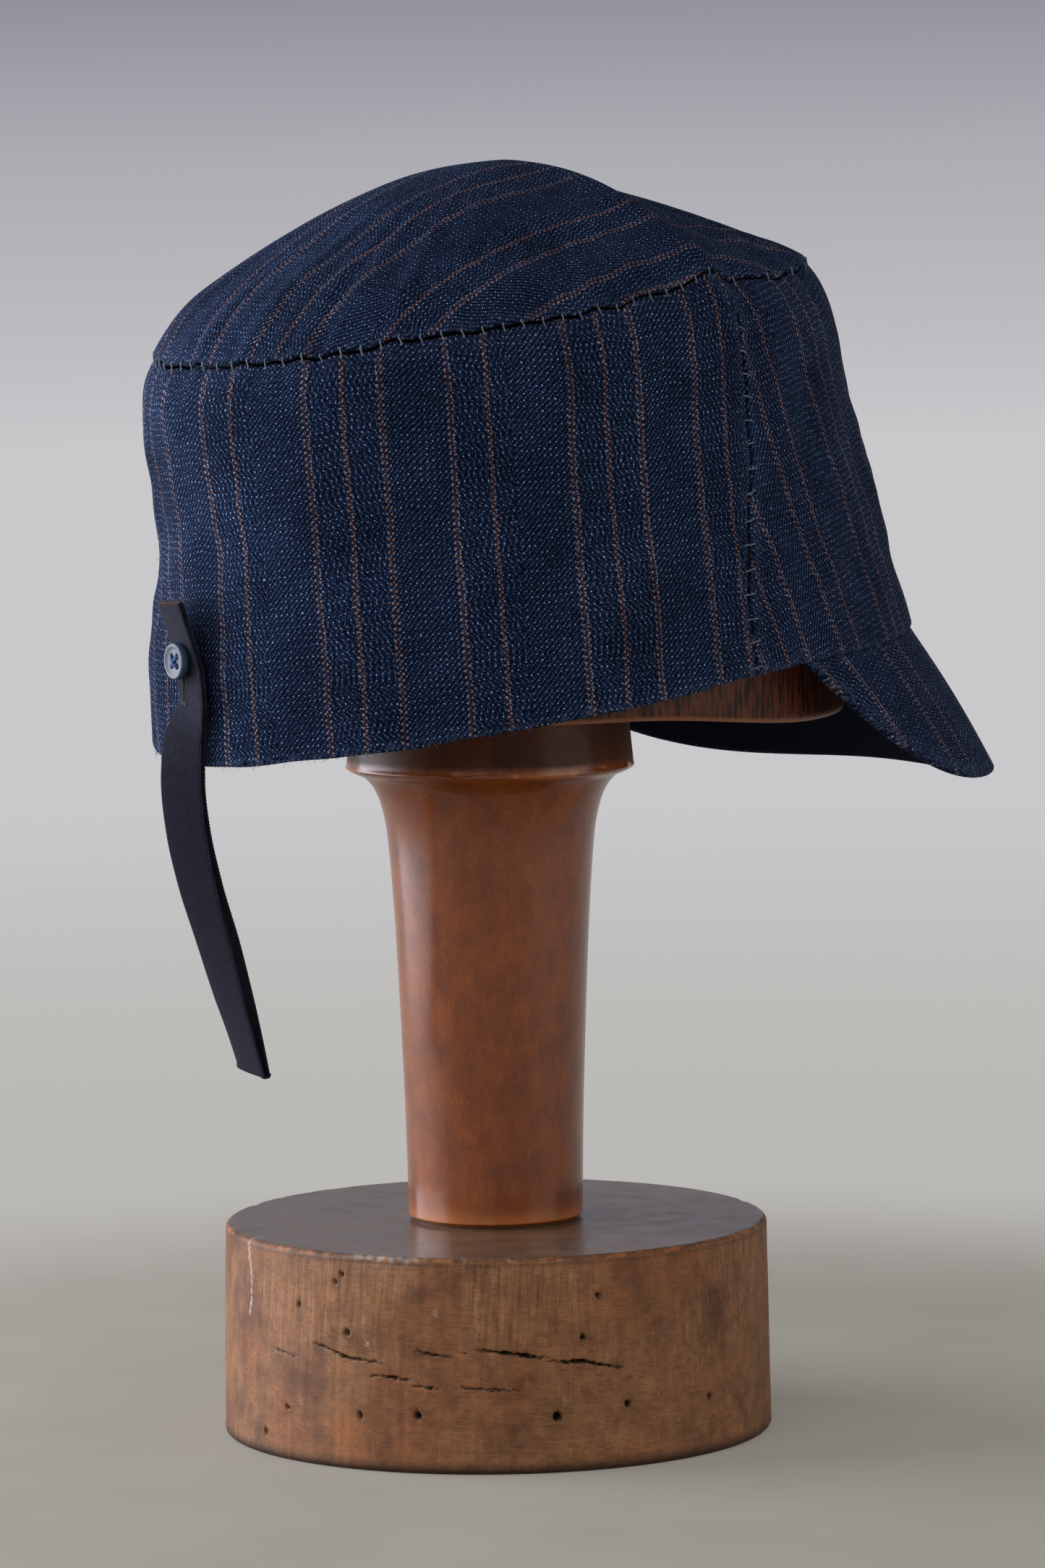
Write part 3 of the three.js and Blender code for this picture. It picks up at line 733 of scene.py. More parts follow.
# Padded peak, sewn under the front hem
peak = {
    "angle": 73.0,  # how far round from the front it is sewn on
    "forward": 150.6,
    "halfWidth": 80.5,
    "sideForward": 47.0,
    "up": 165.5,
    "sideUp": 201.9,
    "roundness": 1.2,
    "droop": 2.3,
    "wave": 1.4,  # the rim is higher beside the middle and hangs lower towards the sides
    "waveStart": 0.08,
    "bow": 1.2,
    "thickness": 3.6,
    "tuckIn": 1.6,  # the sewn edge lies this far inside the front panel's hem
    "tuckUp": 0.6,
    "columns": 190,
    "rows": 48,
    "length": 220.0,  # along the rim, and out from the seam
    "depth": 50.0,
    "radius": 150.0,
    "shift": -21.2,
    "rimWear": (0.5, 1.5, 2.0),
    "seamWear": (0.25, 1.5, 1.5),
}


def peakPoint(across, out):
    across, out = np.broadcast_arrays(np.asarray(across, float), np.asarray(out, float))
    sewn = hemPoint(across * peak["angle"]) - outward(across * peak["angle"]) * peak["tuckIn"]
    sewn[..., 2] += peak["tuckUp"]
    turn = np.radians(across * 90)
    ahead = np.maximum(np.cos(turn), 0)
    reach = peak["forward"] - peak["sideForward"]
    forward = peak["sideForward"] + reach * ahead ** peak["roundness"]
    back = (peak["forward"] - forward) / reach
    up = peak["up"] + (peak["sideUp"] - peak["up"]) * back ** peak["droop"]
    start = peak["waveStart"]
    fromMiddle = np.hypot(np.sqrt(np.maximum(back, 0)), start) - start
    up = up + peak["wave"] * np.sin(2 * np.pi * fromMiddle / (math.hypot(1, start) - start))
    edge = at(forward, peak["halfWidth"] * np.sin(turn), up)
    swell = 0.7 * peak["bow"] * np.sin(np.pi * out) * ahead
    lifted = outward(across * peak["angle"]) + upward
    return sewn + (edge - sewn) * out[..., None] + lifted * swell[..., None]


def addPeak():
    across = 2 * edgedSteps(peak["columns"], peak["length"])[:, None] - 1
    out = 1 - edgedSteps(peak["rows"], peak["depth"])[None, :]
    across, out = np.broadcast_arrays(across, out)
    points = peakPoint(across, out)
    fromRim = travelled(points, 1)
    outRun = fromRim[:, -1:] - fromRim
    fromEnd = (1 - np.abs(across)) * peak["length"] / 2
    fromEdge = np.minimum(np.minimum(fromRim, outRun), fromEnd)
    # thinner at the rim and the ends, where the stiffener stops
    thickness = peak["thickness"] * (1 - 0.2 * out**5) * (0.55 + 0.45 * smoothStep(fromEnd, 0, 8))
    hemArc = np.sign(across) * arcAt(middleArc, np.abs(across) * peak["angle"])
    flatAcross, along = coneCloth(-hemArc, outRun, peak["radius"])
    worn = edgeWear(peak["rimWear"], fromRim) + edgeWear(peak["seamWear"], outRun)
    underShade = 0.0 - smoothStep(fromEdge, 0.3, 1.2)  # below zero the cloth is painted plain and dark, as painted shade under the peak
    shell = clothShell(points, thickness, fromEdge)
    return addCloth("peak", shell, flatAcross + peak["shift"], along, worn, underShade)


peakPad = addPeak()
print("peak sewn")


# Twill tape folded into a loop, buttoned on at the back
tape = {
    "width": 12.0,
    "thickness": 0.8,
    "top": 220.4,
    "rows": 380,
    "foldRows": 18,
    "slitTop": 208.5,
    "slitBottom": 195.3,
    "slitHalf": 1.2,
    "slitRight": 3.8,
    "selvedgePitch": 0.95,
    "selvedgeDepth": 0.07,
    "edgeColumns": [5.5, 5.78, 5.94, 6.0],  # from the middle, finer at the rolled edge
    "cup": 0.22,  # it cups a little across its width
    "cupSet": 0.12,
    "stitchPitch": 0.62,
    "stitchRadius": 0.2,
    "frayed": 90,
    "frayRadius": 0.085,
}
# down from the cut ends, behind the hem, right, turn, tip, half the space between the layers
tapeRows = [
    (0, 5.6, 1.5, -4, 0, 0.6),
    (9.9, 3.2, 3.3, -5, 0, 0.6),
    (18.3, 2.3, 5.3, -2, 0, 0.6),
    (25.1, 2.3, 6.2, -2, 0, 0.6),
    (29.9, 2.6, 5.0, 10, 0, 0.65),
    (34.8, 3.6, 3.9, 22, 0, 0.75),
    (40.2, 4.2, 4.1, 25, 1, 0.85),
    (45.6, 3.8, 3.2, 27, 2, 0.9),
    (57.6, 1.6, 1.6, 28, 5, 1.05),
    (71.6, -2.6, 0, 26, 10, 1.4),
    (86.6, -9.2, -3, 22, 15, 1.7),
    (101.6, -16, -7, 18, 21, 1.6),
    (113.6, -21.9, -11, 14, 25, 1.2),
    (122.6, -26.3, -14.4, 12, 27, 0.85),
]
hemBack = crown["hem"]["forward"] - crown["hem"]["halfLength"]


# Cotton tape, woven narrow with a firm selvedge and dyed charcoal: matt and nearly black, with a fine grid of
# lengthwise cords and closer level picks.
def cottonTape():
    material, add = startMaterial("charcoalCottonTape")
    cordPitch, pickPitch = 0.78, 0.42  # mm
    place = add("Attribute cloth").outputs["Vector"]
    across, along, _ = add("SeparateXYZ", place).outputs
    leaning = add("Math MULTIPLY_ADD", along, 0.06, across)
    cords = add("MapRange SMOOTHSTEP", add("Math PINGPONG", leaning, cordPitch / 2), 0.02, 0.16)
    picks = add("MapRange", add("Math PINGPONG", along, pickPitch / 2), 0.02, 0.15, 0.45, 1.0)
    yarn = add("Math MULTIPLY", cords, picks)
    dust = add("MapRange", add("TexNoise", place, Scale=0.8, Detail=4.0), 0.35, 0.75, 0.8, 1.3)
    cotton = add("VectorMath SCALE", add("MixRGB", yarn, "#0f1018", "#20212d"), Scale=dust)
    return finishMaterial(
        material, yarn, 0.4, 0.06, Base_Color=cotton, Roughness=0.9, IOR=1.5, Specular_IOR_Level=0.12,
        Sheen_Weight=0.07, Sheen_Roughness=0.4, Sheen_Tint="#8d8ea6")


# Cotton yarn, spun and piece dyed: rough to the light, with its twist showing as a fine slant.
def spunYarn(name, dark, light, twist):
    material, add = startMaterial(name)
    place = add("TexCoord").outputs["Object"]
    grain = add("TexNoise", place, Scale=1 / (twist * mm), Detail=3.0)
    dyed = add("MixRGB", add("MapRange", grain, 0.3, 0.7), dark, light)
    return finishMaterial(material, grain, 0.5, 0.06, Base_Color=dyed, Roughness=0.75, IOR=1.5,
                          Specular_IOR_Level=0.25)


tapeCotton = cottonTape()
seamThread = spunYarn("slateSewingCotton", "#2f353f", "#747c89", 0.5)
buttonCotton = spunYarn("blueButtonCotton", "#1d2c50", "#48639a", 0.4)
tackCotton = spunYarn("charcoalSewingCotton", "#0c0d12", "#24252e", 0.4)
frayedCotton = spunYarn("undyedWeftEnds", "#3d2a1e", "#8a6443", 0.6)
denimFuzz = spunYarn("indigoLooseFibre", "#141b2c", "#4c5a78", 0.9)


def tapeValue(index, down):
    return tableValue(tapeRows, index, down)


def tapeMiddle(down):
    return at(hemBack - tapeValue(1, down), tapeValue(2, down), tape["top"] - down)


def tapeFrame(down):  # the middle between both layers, and the directions down, across and back
    small = 0.2
    heading = unit(tapeMiddle(down + small) - tapeMiddle(down - small))
    turn, tipped = np.radians(tapeValue(3, down)), np.radians(tapeValue(4, down))
    level = at(np.sin(turn), np.cos(turn), -np.tan(tipped))
    across = unit(level - heading * np.sum(level * heading, -1, keepdims=True))
    return tapeMiddle(down), heading, across, np.cross(heading, across)


def slitHalf(down):  # the buttonhole is widest round the button's shank
    start, end = tape["top"] - tape["slitTop"], tape["top"] - tape["slitBottom"]
    return through([start, start + 2.2, end - 8, end], [0.35, tape["slitHalf"], 0.5, 0.22], down)


def slitPlace(down):  # the slit stays upright while the tape leans, so it wanders across the tape
    within = np.clip(down, tape["top"] - tape["slitTop"], tape["top"] - tape["slitBottom"])
    return (tape["slitRight"] - tapeValue(2, within)) / np.cos(np.radians(tapeValue(3, within)))


def addTape():
    length = tapeRows[-1][0]
    down = np.linspace(0, length, tape["rows"])
    middle, heading, across, back = tapeFrame(down)
    space = tapeValue(5, down)[:, None]
    bend = np.radians(np.linspace(0, 180, tape["foldRows"] + 2)[1:-1])[:, None]
    turning = back[-1] * np.cos(bend) + heading[-1] * np.sin(bend)
    fold = middle[-1] + turning * space[-1]
    spine = np.concatenate([middle + back * space, fold, (middle - back * space)[::-1]])
    face = np.concatenate([back, turning, -back[::-1]])
    sideways = np.concatenate([across, np.repeat(across[-1:], len(bend), 0), across[::-1]])
    depth = np.concatenate([down, np.full(len(bend), length), down[::-1]])
    travel = travelled(spine)
    slit, edge, half = tape["slitHalf"], tape["edgeColumns"], tape["width"] / 2
    outer = np.concatenate([np.linspace(slit, edge[0], 8), edge[1:]])
    place = np.concatenate([-outer[::-1], [-0.4, 0.4], outer])[:, None]
    away = np.abs(place)
    inSlit = (depth > tape["top"] - tape["slitTop"]) & (depth < tape["top"] - tape["slitBottom"])
    opening = np.where(inSlit, slitHalf(depth), slit)
    narrowed = opening + (away - slit) * (half - opening) / (half - slit)
    moved = np.where(away < slit, away * opening / slit, narrowed)
    loops = tape["selvedgeDepth"] * np.sin(2 * np.pi * travel / tape["selvedgePitch"])
    moved = np.sign(place) * (moved + loops * smoothStep(away, 5.4, half))
    moved = moved + slitPlace(depth) * (1 - np.minimum(np.abs(moved) / half, 1) ** 2)
    curl = tape["cup"] * np.cos(np.pi * place / tape["width"]) - tape["cupSet"]
    points = spine + sideways * moved[..., None] + face * curl[..., None]
    columns, rows = points.shape[:2]
    faces = gridFaces(columns, rows)
    faceColumn, faceRow = faces[:, 0] // rows, faces[:, 0] % rows
    fromMiddle = np.abs(place[:-1, 0] + place[1:, 0]) / 2
    cut = (fromMiddle[faceColumn] < slit) & inSlit[faceRow]
    normals = np.broadcast_to(face, points.shape).reshape(-1, 3)
    thin = tape["thickness"] / 2
    rolled = np.clip((half - away) / thin, 0.15, 1)
    skin = thin * np.sqrt(1 - (1 - rolled) ** 2) * np.ones(rows)
    shell = thicken(points.reshape(-1, 3), faces[~cut], normals, skin.ravel())
    cloth = np.stack([moved, np.broadcast_to(travel, (columns, rows)), 0 * moved], -1).reshape(-1, 3)
    made = addPiece("tape_loop", *shell, tapeCotton, "twill_tape", ["tab"],
                    {"cloth": np.concatenate([cloth, cloth])}, weld=0.002, sharpAngle=60)
    return made, travel[-1]


def tapeStitch(down, reach, lift):  # across the outside of the tape's rear layer, from the slit's place
    middle, _, across, back = tapeFrame(np.array(down))
    face = middle + back * (tapeValue(5, down) + tape["thickness"] / 2)
    reach = slitPlace(down) + np.array(reach)
    return face + across * reach[:, None] + back * np.array(lift)[:, None]


def addTapeThreads():
    # oversewn edges of the slit, and the bar tack at its lower end
    start, end = tape["top"] - tape["slitTop"] + 0.5, tape["top"] - tape["slitBottom"]
    paths = []
    for down in np.arange(start, end, tape["stitchPitch"]):
        for side in (-1, 1):
            reach = side * (slitHalf(down) + np.array([-0.05, 0.12, 0.6, 1.1]))
            paths.append(tapeStitch(down, reach, [-0.5, 0.1, 0.12, -0.12]))
    for down in end + np.array([-0.1, 0.35, 0.8]):
        paths.append(tapeStitch(down, [-1.7, -1.45, 1.45, 1.7], [-0.15, 0.16, 0.16, -0.15]))
    sewn = tubes([smoothPath(p, 9) for p in paths], tape["stitchRadius"], 6)
    sewn = addPiece("buttonhole_stitches", *sewn, tackCotton, "thread")
    # yarn ends at the two cut edges
    middle, heading, across, back = tapeFrame(np.array(0.0))
    t = np.linspace(-0.4, 1, 5)[:, None]
    paths = []
    for n in range(tape["frayed"]):
        side = 1 if n % 3 else -1
        spot = middle + back * side * (tapeValue(5, 0.0) + chance.uniform(-0.35, 0.35))
        spot = spot + across * chance.uniform(-5.8, 5.8)
        long = chance.uniform(0.2, 0.55) if n % 11 else chance.uniform(0.7, 1.2)
        stray = across * chance.normal(0, 0.35) + back * chance.normal(0.1, 0.35) - heading
        curl = across * chance.normal(0, 0.4) + back * chance.normal(0, 0.4)
        paths.append(spot + (unit(stray) * t + curl * t * t * 0.6) * long)
    frayed = tubes(paths, tape["frayRadius"], 4)
    return sewn, addPiece("tape_frayed_ends", *frayed, frayedCotton, "thread")


tapeLoop, tapeLength = addTape()
tapeStitches, tapeFray = addTapeThreads()
print("tape looped", tapeLength)


# Four-hole button with its thread shank
button = {
    "radius": 4.75,
    "thickness": 2.5,
    "dish": 0.5,
    "rim": 1.0,
    "right": 3.9,
    "up": 206.0,
    "standOff": 0.7,
    "holeRadius": 0.62,
    "holeOffset": 1.3,
    "sides": 96,
    "drillSides": 20,
    "shankRadius": 0.62,
    "strandRadius": 0.21,
    "coilRadius": 0.22,
    "coilPitch": 0.4,
}
tapeBehind = float(tapeMiddle(np.array(tape["top"] - button["up"]))[1])
tapeFaceOut = float(tapeValue(5, tape["top"] - button["up"])) + tape["thickness"] / 2
buttonBack = tapeBehind + tapeFaceOut + button["standOff"]  # its rear face, towards +Y


def facingBack(points):  # a shape made along +Z from the button's rear face
    points = np.asarray(points)
    return np.stack([points[..., 0] - button["right"], points[..., 2] + buttonBack,
                     button["up"] - points[..., 1]], -1)


# Corozo nut, turned and dyed: the dye stays blue on the sides, the polished dish has rubbed pale and grey.
def dyedCorozo():
    material, add = startMaterial("dyedCorozo")
    place = add("TexCoord").outputs["Object"]
    middle = (-button["right"] * mm, buttonBack * mm, button["up"] * mm)
    local = add("VectorMath SCALE", add("VectorMath SUBTRACT", place, middle), Scale=1 / mm)
    behind = add("SeparateXYZ", local).outputs["Y"]
    out = add("VectorMath LENGTH", add("VectorMath MULTIPLY", local, (1.0, 0.0, 1.0))).outputs["Value"]
    thick, radius = button["thickness"], button["radius"]
    front = add("MapRange SMOOTHSTEP", behind, thick - 0.75, thick - 0.35)
    inRim = add("MapRange SMOOTHSTEP", out, radius - 0.15, radius - 0.55)
    rubbed = add("Math MULTIPLY", front, inRim)
    grain = add("TexNoise", add("VectorMath MULTIPLY", local, (2.2, 1.0, 0.5)), Scale=1.0, Detail=4.0)
    nut = add("MixRGB", grain, "#474c53", "#6f7172")
    dye = add("MixRGB", grain, "#17253b", "#2b4159")
    shown = add("MixRGB", rubbed, dye, nut)
    return finishMaterial(material, grain, 0.25, 0.05, Base_Color=shown, Roughness=0.46, IOR=1.54,
                          Specular_IOR_Level=0.22)


def addButton():
    r, t, rim = button["radius"], button["thickness"], button["radius"] - button["rim"]
    top = t - button["dish"]
    profile = [  # radius, up
        (0.0, 0.0), (r - 1.3, 0.0), (r - 0.9, 0.03), (r - 0.55, 0.2), (r - 0.25, 0.5), (r - 0.06, 0.85),
        (r, 1.2), (r - 0.02, 1.6), (r - 0.1, 2.0), (r - 0.28, t - 0.18), (r - 0.5, t - 0.03), (r - 0.68, t),
        (r - 0.85, t - 0.02), (rim, t - 0.1), (rim - 0.3, t - 0.3), (rim - 0.65, top + 0.03),
        (rim - 1.0, top), (0.0, top),
    ]
    points = facingBack(turnedGrid(*np.array(profile).T, button["sides"]))
    made = addTurned("button_disc", points, dyedCorozo(), "button", "button", weld=0.002)
    # four drills with rounded shoulders cut the holes
    hole, sides = button["holeRadius"], button["drillSides"]
    waist = [
        (0.0, -1.0), (hole + 0.25, -1.0), (hole + 0.25, 0.0), (hole, 0.3), (hole, top - 0.3),
        (hole + 0.08, top - 0.1), (hole + 0.26, top + 0.02), (hole + 0.26, top + 1.0), (0.0, top + 1.0),
    ]
    drill = turnedGrid(*np.array(waist).T, sides)
    net = gridFaces(sides, len(waist), True)
    drills = []
    for x, y in ((1, 1), (1, -1), (-1, -1), (-1, 1)):
        moved = drill + np.array([x, y, 0.0]) * button["holeOffset"]
        drills.append((facingBack(moved).reshape(-1, 3), net))
    cutter = newMesh("buttonDrill", *joined(drills))
    weldMesh(cutter, 0.002)
    cutter = addObject("buttonDrill", cutter)
    drilled = made.modifiers.new("holes", "BOOLEAN")
    drilled.object = cutter
    drilled.solver = "EXACT"
    graph = bpy.context.evaluated_depsgraph_get()
    result = bpy.data.meshes.new_from_object(made.evaluated_get(graph))
    made.modifiers.clear()
    made.data = result
    smoothShade(result, 35)
    bpy.data.objects.remove(cutter)


def addButtonThread():
    face = button["thickness"] - button["dish"]
    far = math.sqrt(2) * button["holeOffset"]
    strands = []
    for layer, turn in enumerate((45, -45)):
        heading = np.array([math.cos(math.radians(turn)), math.sin(math.radians(turn)), 0.0])
        beside = np.array([-heading[1], heading[0], 0.0])
        for n, aside in enumerate((-0.24, 0.02, 0.26)):
            reach = np.array([-1.0, -1.0, -0.86, -0.45, 0.0, 0.45, 0.86, 1.0, 1.0]) * far
            rise = np.array([-1.6, -0.3, 0.24, 0.3, 0.34, 0.3, 0.24, -0.3, -1.6])
            rise = rise + np.where(np.abs(reach) < 1, 0.34 * layer + 0.08 * (n == 1), 0)
            path = heading * reach[:, None] + beside * (aside + 0.1 * rise)[:, None]
            strands.append(smoothPath(path + upward * (face + rise)[:, None], 40))
    # the shank: turns of thread round its own strands, from the crown's wall to the button
    hem, seam = hemPoint(np.array(180.0)), seamPoint(np.array(180.0))
    level = (button["up"] - hem[2]) / (seam - hem)[2]
    angle = 180 - math.degrees(math.asin(button["right"] / crown["hem"]["halfWidth"]))
    wall = float(wallPoint(np.array(angle), np.array(level))[1])
    start, end = wall - buttonBack + 0.1, -0.1
    turns = (end - start) / button["coilPitch"]
    t = np.linspace(0, 1, int(turns * 16))
    around = t * turns * 2 * np.pi
    along = start + (end - start) * t
    shank = button["shankRadius"]
    coil = np.stack([shank * np.cos(around), shank * np.sin(around), along], -1)
    core = np.stack([0 * t, 0 * t, along], -1)
    shapes = [
        tubes([facingBack(s) for s in strands], button["strandRadius"], 8),
        tubes([facingBack(coil)], button["coilRadius"], 7),
        tubes([facingBack(core)], shank, 12),
    ]
    addPiece("button_strands", *joined(shapes), buttonCotton, "thread", ["button_thread"])


addButton()
addButtonThread()
print("button sewn on")


# Hand stitches along the tip's seam and the side seams, and the loose fibre of the cloth
stitches = {
    "radius": 0.21,
    "below": 1.3,  # mm of the tip's stitches on the wall, and on the tip
    "above": 0.55,
    "lean": 0.3,  # degrees round the crown
    "sideSpacing": 5.9,
    "sideHalf": 1.35,
    "sideTop": 0.9,
    "tipSlope": 95,  # mm from the tip's seam to its apex
    "perDegree": 1.4,  # mm round the wall
    "hemFibres": 420,
    "wallFibres": 260,
    "fibreRadius": 0.045,
}


def addStitches():
    paths = []
    places = np.interp(np.arange(stitchCount) * seamArc[-1] / stitchCount, seamArc, roundAngles)
    for n, angle in enumerate(places):
        if fromFront(angle) < sideSeamAngle(1.0) and n % 3:  # fewer show along the front
            continue
        out = outward(np.array(angle))
        below = stitches["below"] * chance.uniform(0.8, 1.15)
        above = stitches["above"] * chance.uniform(0.8, 1.2)
        lean = stitches["lean"] * chance.uniform(0.4, 1.8)
        slope = unit(out + upward * 1.3)
        reach = above / stitches["tipSlope"]
        low = np.array([below, below - 0.25, below * 0.5]) / crown["slant"]
        wall = wallPoint(np.full(3, angle), 1 - low) + out * np.array([-0.3, 0.1, 0.24])[:, None]
        high = tipPoint(np.full(3, angle + lean), np.array([0.15, 0.8, 1.1]) * reach)
        high = high + slope * np.array([0.12, 0.14, -0.3])[:, None]
        paths.append(smoothPath(np.concatenate([wall, high]), 12))
    for side in (1, -1):
        for level in np.arange(0.02, stitches["sideTop"], stitches["sideSpacing"] / crown["slant"]):
            level = level + chance.uniform(-0.004, 0.004)
            half = stitches["sideHalf"] * chance.uniform(0.85, 1.15)
            reach = np.array([-1.0, -0.85, -0.3, 0.3, 0.85, 1.0]) * half / stitches["perDegree"]
            lift = np.array([-0.3, 0.12, 0.3, 0.3, 0.12, -0.3])
            angle = side * (sideSeamAngle(level) + reach)
            tilt = np.linspace(-1, 1, 6) * chance.uniform(-0.003, 0.003)
            paths.append(smoothPath(wallPoint(angle, level + tilt) + outward(angle) * lift[:, None], 12))
    addPiece("hand_stitches", *tubes(paths, stitches["radius"], 7), seamThread, "thread")


def addFibres():
    paths = []
    t = np.linspace(-0.2, 1, 5)[:, None]
    for n in range(stitches["hemFibres"] + stitches["wallFibres"]):
        atHem = n < stitches["hemFibres"]
        angle = np.array(chance.uniform(0, 360))
        level = np.array(chance.uniform(0.0, 0.006) if atHem else chance.uniform(0.03, 0.97))
        out = outward(angle)
        spot = wallPoint(angle, level) - out * (chance.uniform(0.2, 1.6) if atHem else 0.15)
        along = np.cross(upward, out)
        stray = -upward + out * chance.normal(0.2, 0.5) if atHem else out + upward * chance.normal(0, 0.8)
        stray = unit(stray + along * chance.normal(0, 0.9))
        curl = unit(chance.normal(size=3))
        long = chance.uniform(0.3, 1.3) if n % 7 else chance.uniform(1.2, 2.6)
        long = long if atHem else 0.5 * long
        paths.append(spot + (stray * t + 0.55 * curl * t * t) * long)
    addPiece("loose_fibres", *tubes(paths, stitches["fibreRadius"], 3), denimFuzz, "striped_denim")


addStitches()
addFibres()
print("stitches and loose fibres laid")


# Turned wooden stand: base, column and head block
def sizedNoise(add, place, size, detail, rough=0.5):  # size of its spots along each axis, in mm
    scaled = add("VectorMath MULTIPLY", place, [1 / length for length in size])
    return add("TexNoise", scaled, Scale=1.0, Detail=detail, Roughness=rough)


base = {
    "footRadius": 71.6,
    "topRadius": 70.8,
    "height": 55.1,
    "edge": 1.6,
    "dentDepth": 0.5,
    "holeDepth": 2.4,
    "seenTo": 80,  # degrees on each side of the camera, with finer columns
    "crackZone": (20.0, 33.2),  # heights with finer rows
    "topRows": 26,
}
# cracks along the grain: greatest width, depth, then bearing in degrees from the camera and height
cracks = [
    (0.42, 1.6, [(-41.5, 31.5), (-36.8, 30.4), (-32.4, 28.6), (-27.9, 28.3), (-24.1, 27.9)]),
    (0.14, 0.4, [(-54, 28.4), (-47.8, 27.5), (-43.5, 26.8)]),
    (0.3, 1.0, [(-17.3, 31.4), (-9.4, 30)]),
    (0.26, 0.9, [(-8.3, 31.5), (-5.7, 31)]),
    (0.75, 2.4, [(-4.3, 32.1), (0.3, 31.3), (4.7, 30.5), (8.4, 29.7), (10.7, 29.8)]),
    (0.62, 2.2, [(9.8, 28.9), (14.5, 28.2), (17.6, 28.4), (21.5, 27), (26.8, 25.7)]),
    (0.44, 1.6, [(-27.3, 24.6), (-21.9, 24.5), (-17.9, 23.8)]),
    (0.26, 0.9, [(-17.9, 22.5), (-11.8, 22)]),
    (0.2, 0.7, [(-9.9, 22.6), (-3.0, 21.9), (4.6, 21.6)]),
    (0.14, 0.4, [(27.3, 23.2), (31.6, 22.7)]),
    (0.5, 1.6, [(128, 33), (136, 32.2), (149, 31.8)]),
    (0.42, 1.4, [(196, 24), (204, 23.1), (217, 22.4)]),
]
# worm holes: bearing, height, radius
wormHoles = [
    (-32.5, 35.1, 0.6), (-29.3, 14.3, 0.55), (-16.6, 15.0, 0.95), (-49, 13.8, 0.5), (-56.7, 6.1, 0.6),
    (21.2, 44.7, 0.5), (12.1, 14.4, 1.15), (27.5, 16.5, 0.75), (49.3, 15.1, 0.6), (17.8, 34.3, 0.6),
    (-33.6, 49.8, 0.4), (-35.4, 47.8, 0.45), (-45.3, 40.9, 0.4), (118, 20, 0.7), (163, 41, 0.6),
    (212, 12, 0.9),
]
# pale marks: half width, strength, then bearing and height
paleMarks = [
    (0.4, 0.85, [(-64.2, 55.2), (-63, 46.2), (-62.8, 38.7), (-63.6, 35.8)]),
    (0.35, 0.14, [(-4.5, 46), (-4.3, 35)]),
    (0.7, 0.2, [(-13, 42), (-12.6, 40.6)]),
    (0.5, 0.55, [(-27.9, 33), (-27.7, 32.4)]),
    (0.8, 0.12, [(13.5, 19.5), (13.6, 17.5)]),
]
rubbedPatch = {"bearing": -33, "up": 9.5, "spread": 5.0, "strength": 0.6}


def fromLine(x, y, line):  # distance to a bent line, and the nearest place along it from 0 to 1
    line = np.asarray(line, float)
    starts = travelled(line)
    nearest, along = np.full(np.shape(x), 1e9), np.zeros(np.shape(x))
    for n in range(len(line) - 1):
        run = np.linalg.norm(line[n + 1] - line[n])
        step = (line[n + 1] - line[n]) / run
        t = np.clip((x - line[n, 0]) * step[0] + (y - line[n, 1]) * step[1], 0, run)
        away = np.hypot(x - line[n, 0] - t * step[0], y - line[n, 1] - t * step[1])
        along = np.where(away < nearest, (starts[n] + t) / starts[-1], along)
        nearest = np.minimum(nearest, away)
    return nearest, along


def onDrum(line):  # bearings in degrees to millimetres round the base
    return [(math.radians(bearing) * base["footRadius"], up) for bearing, up in line]


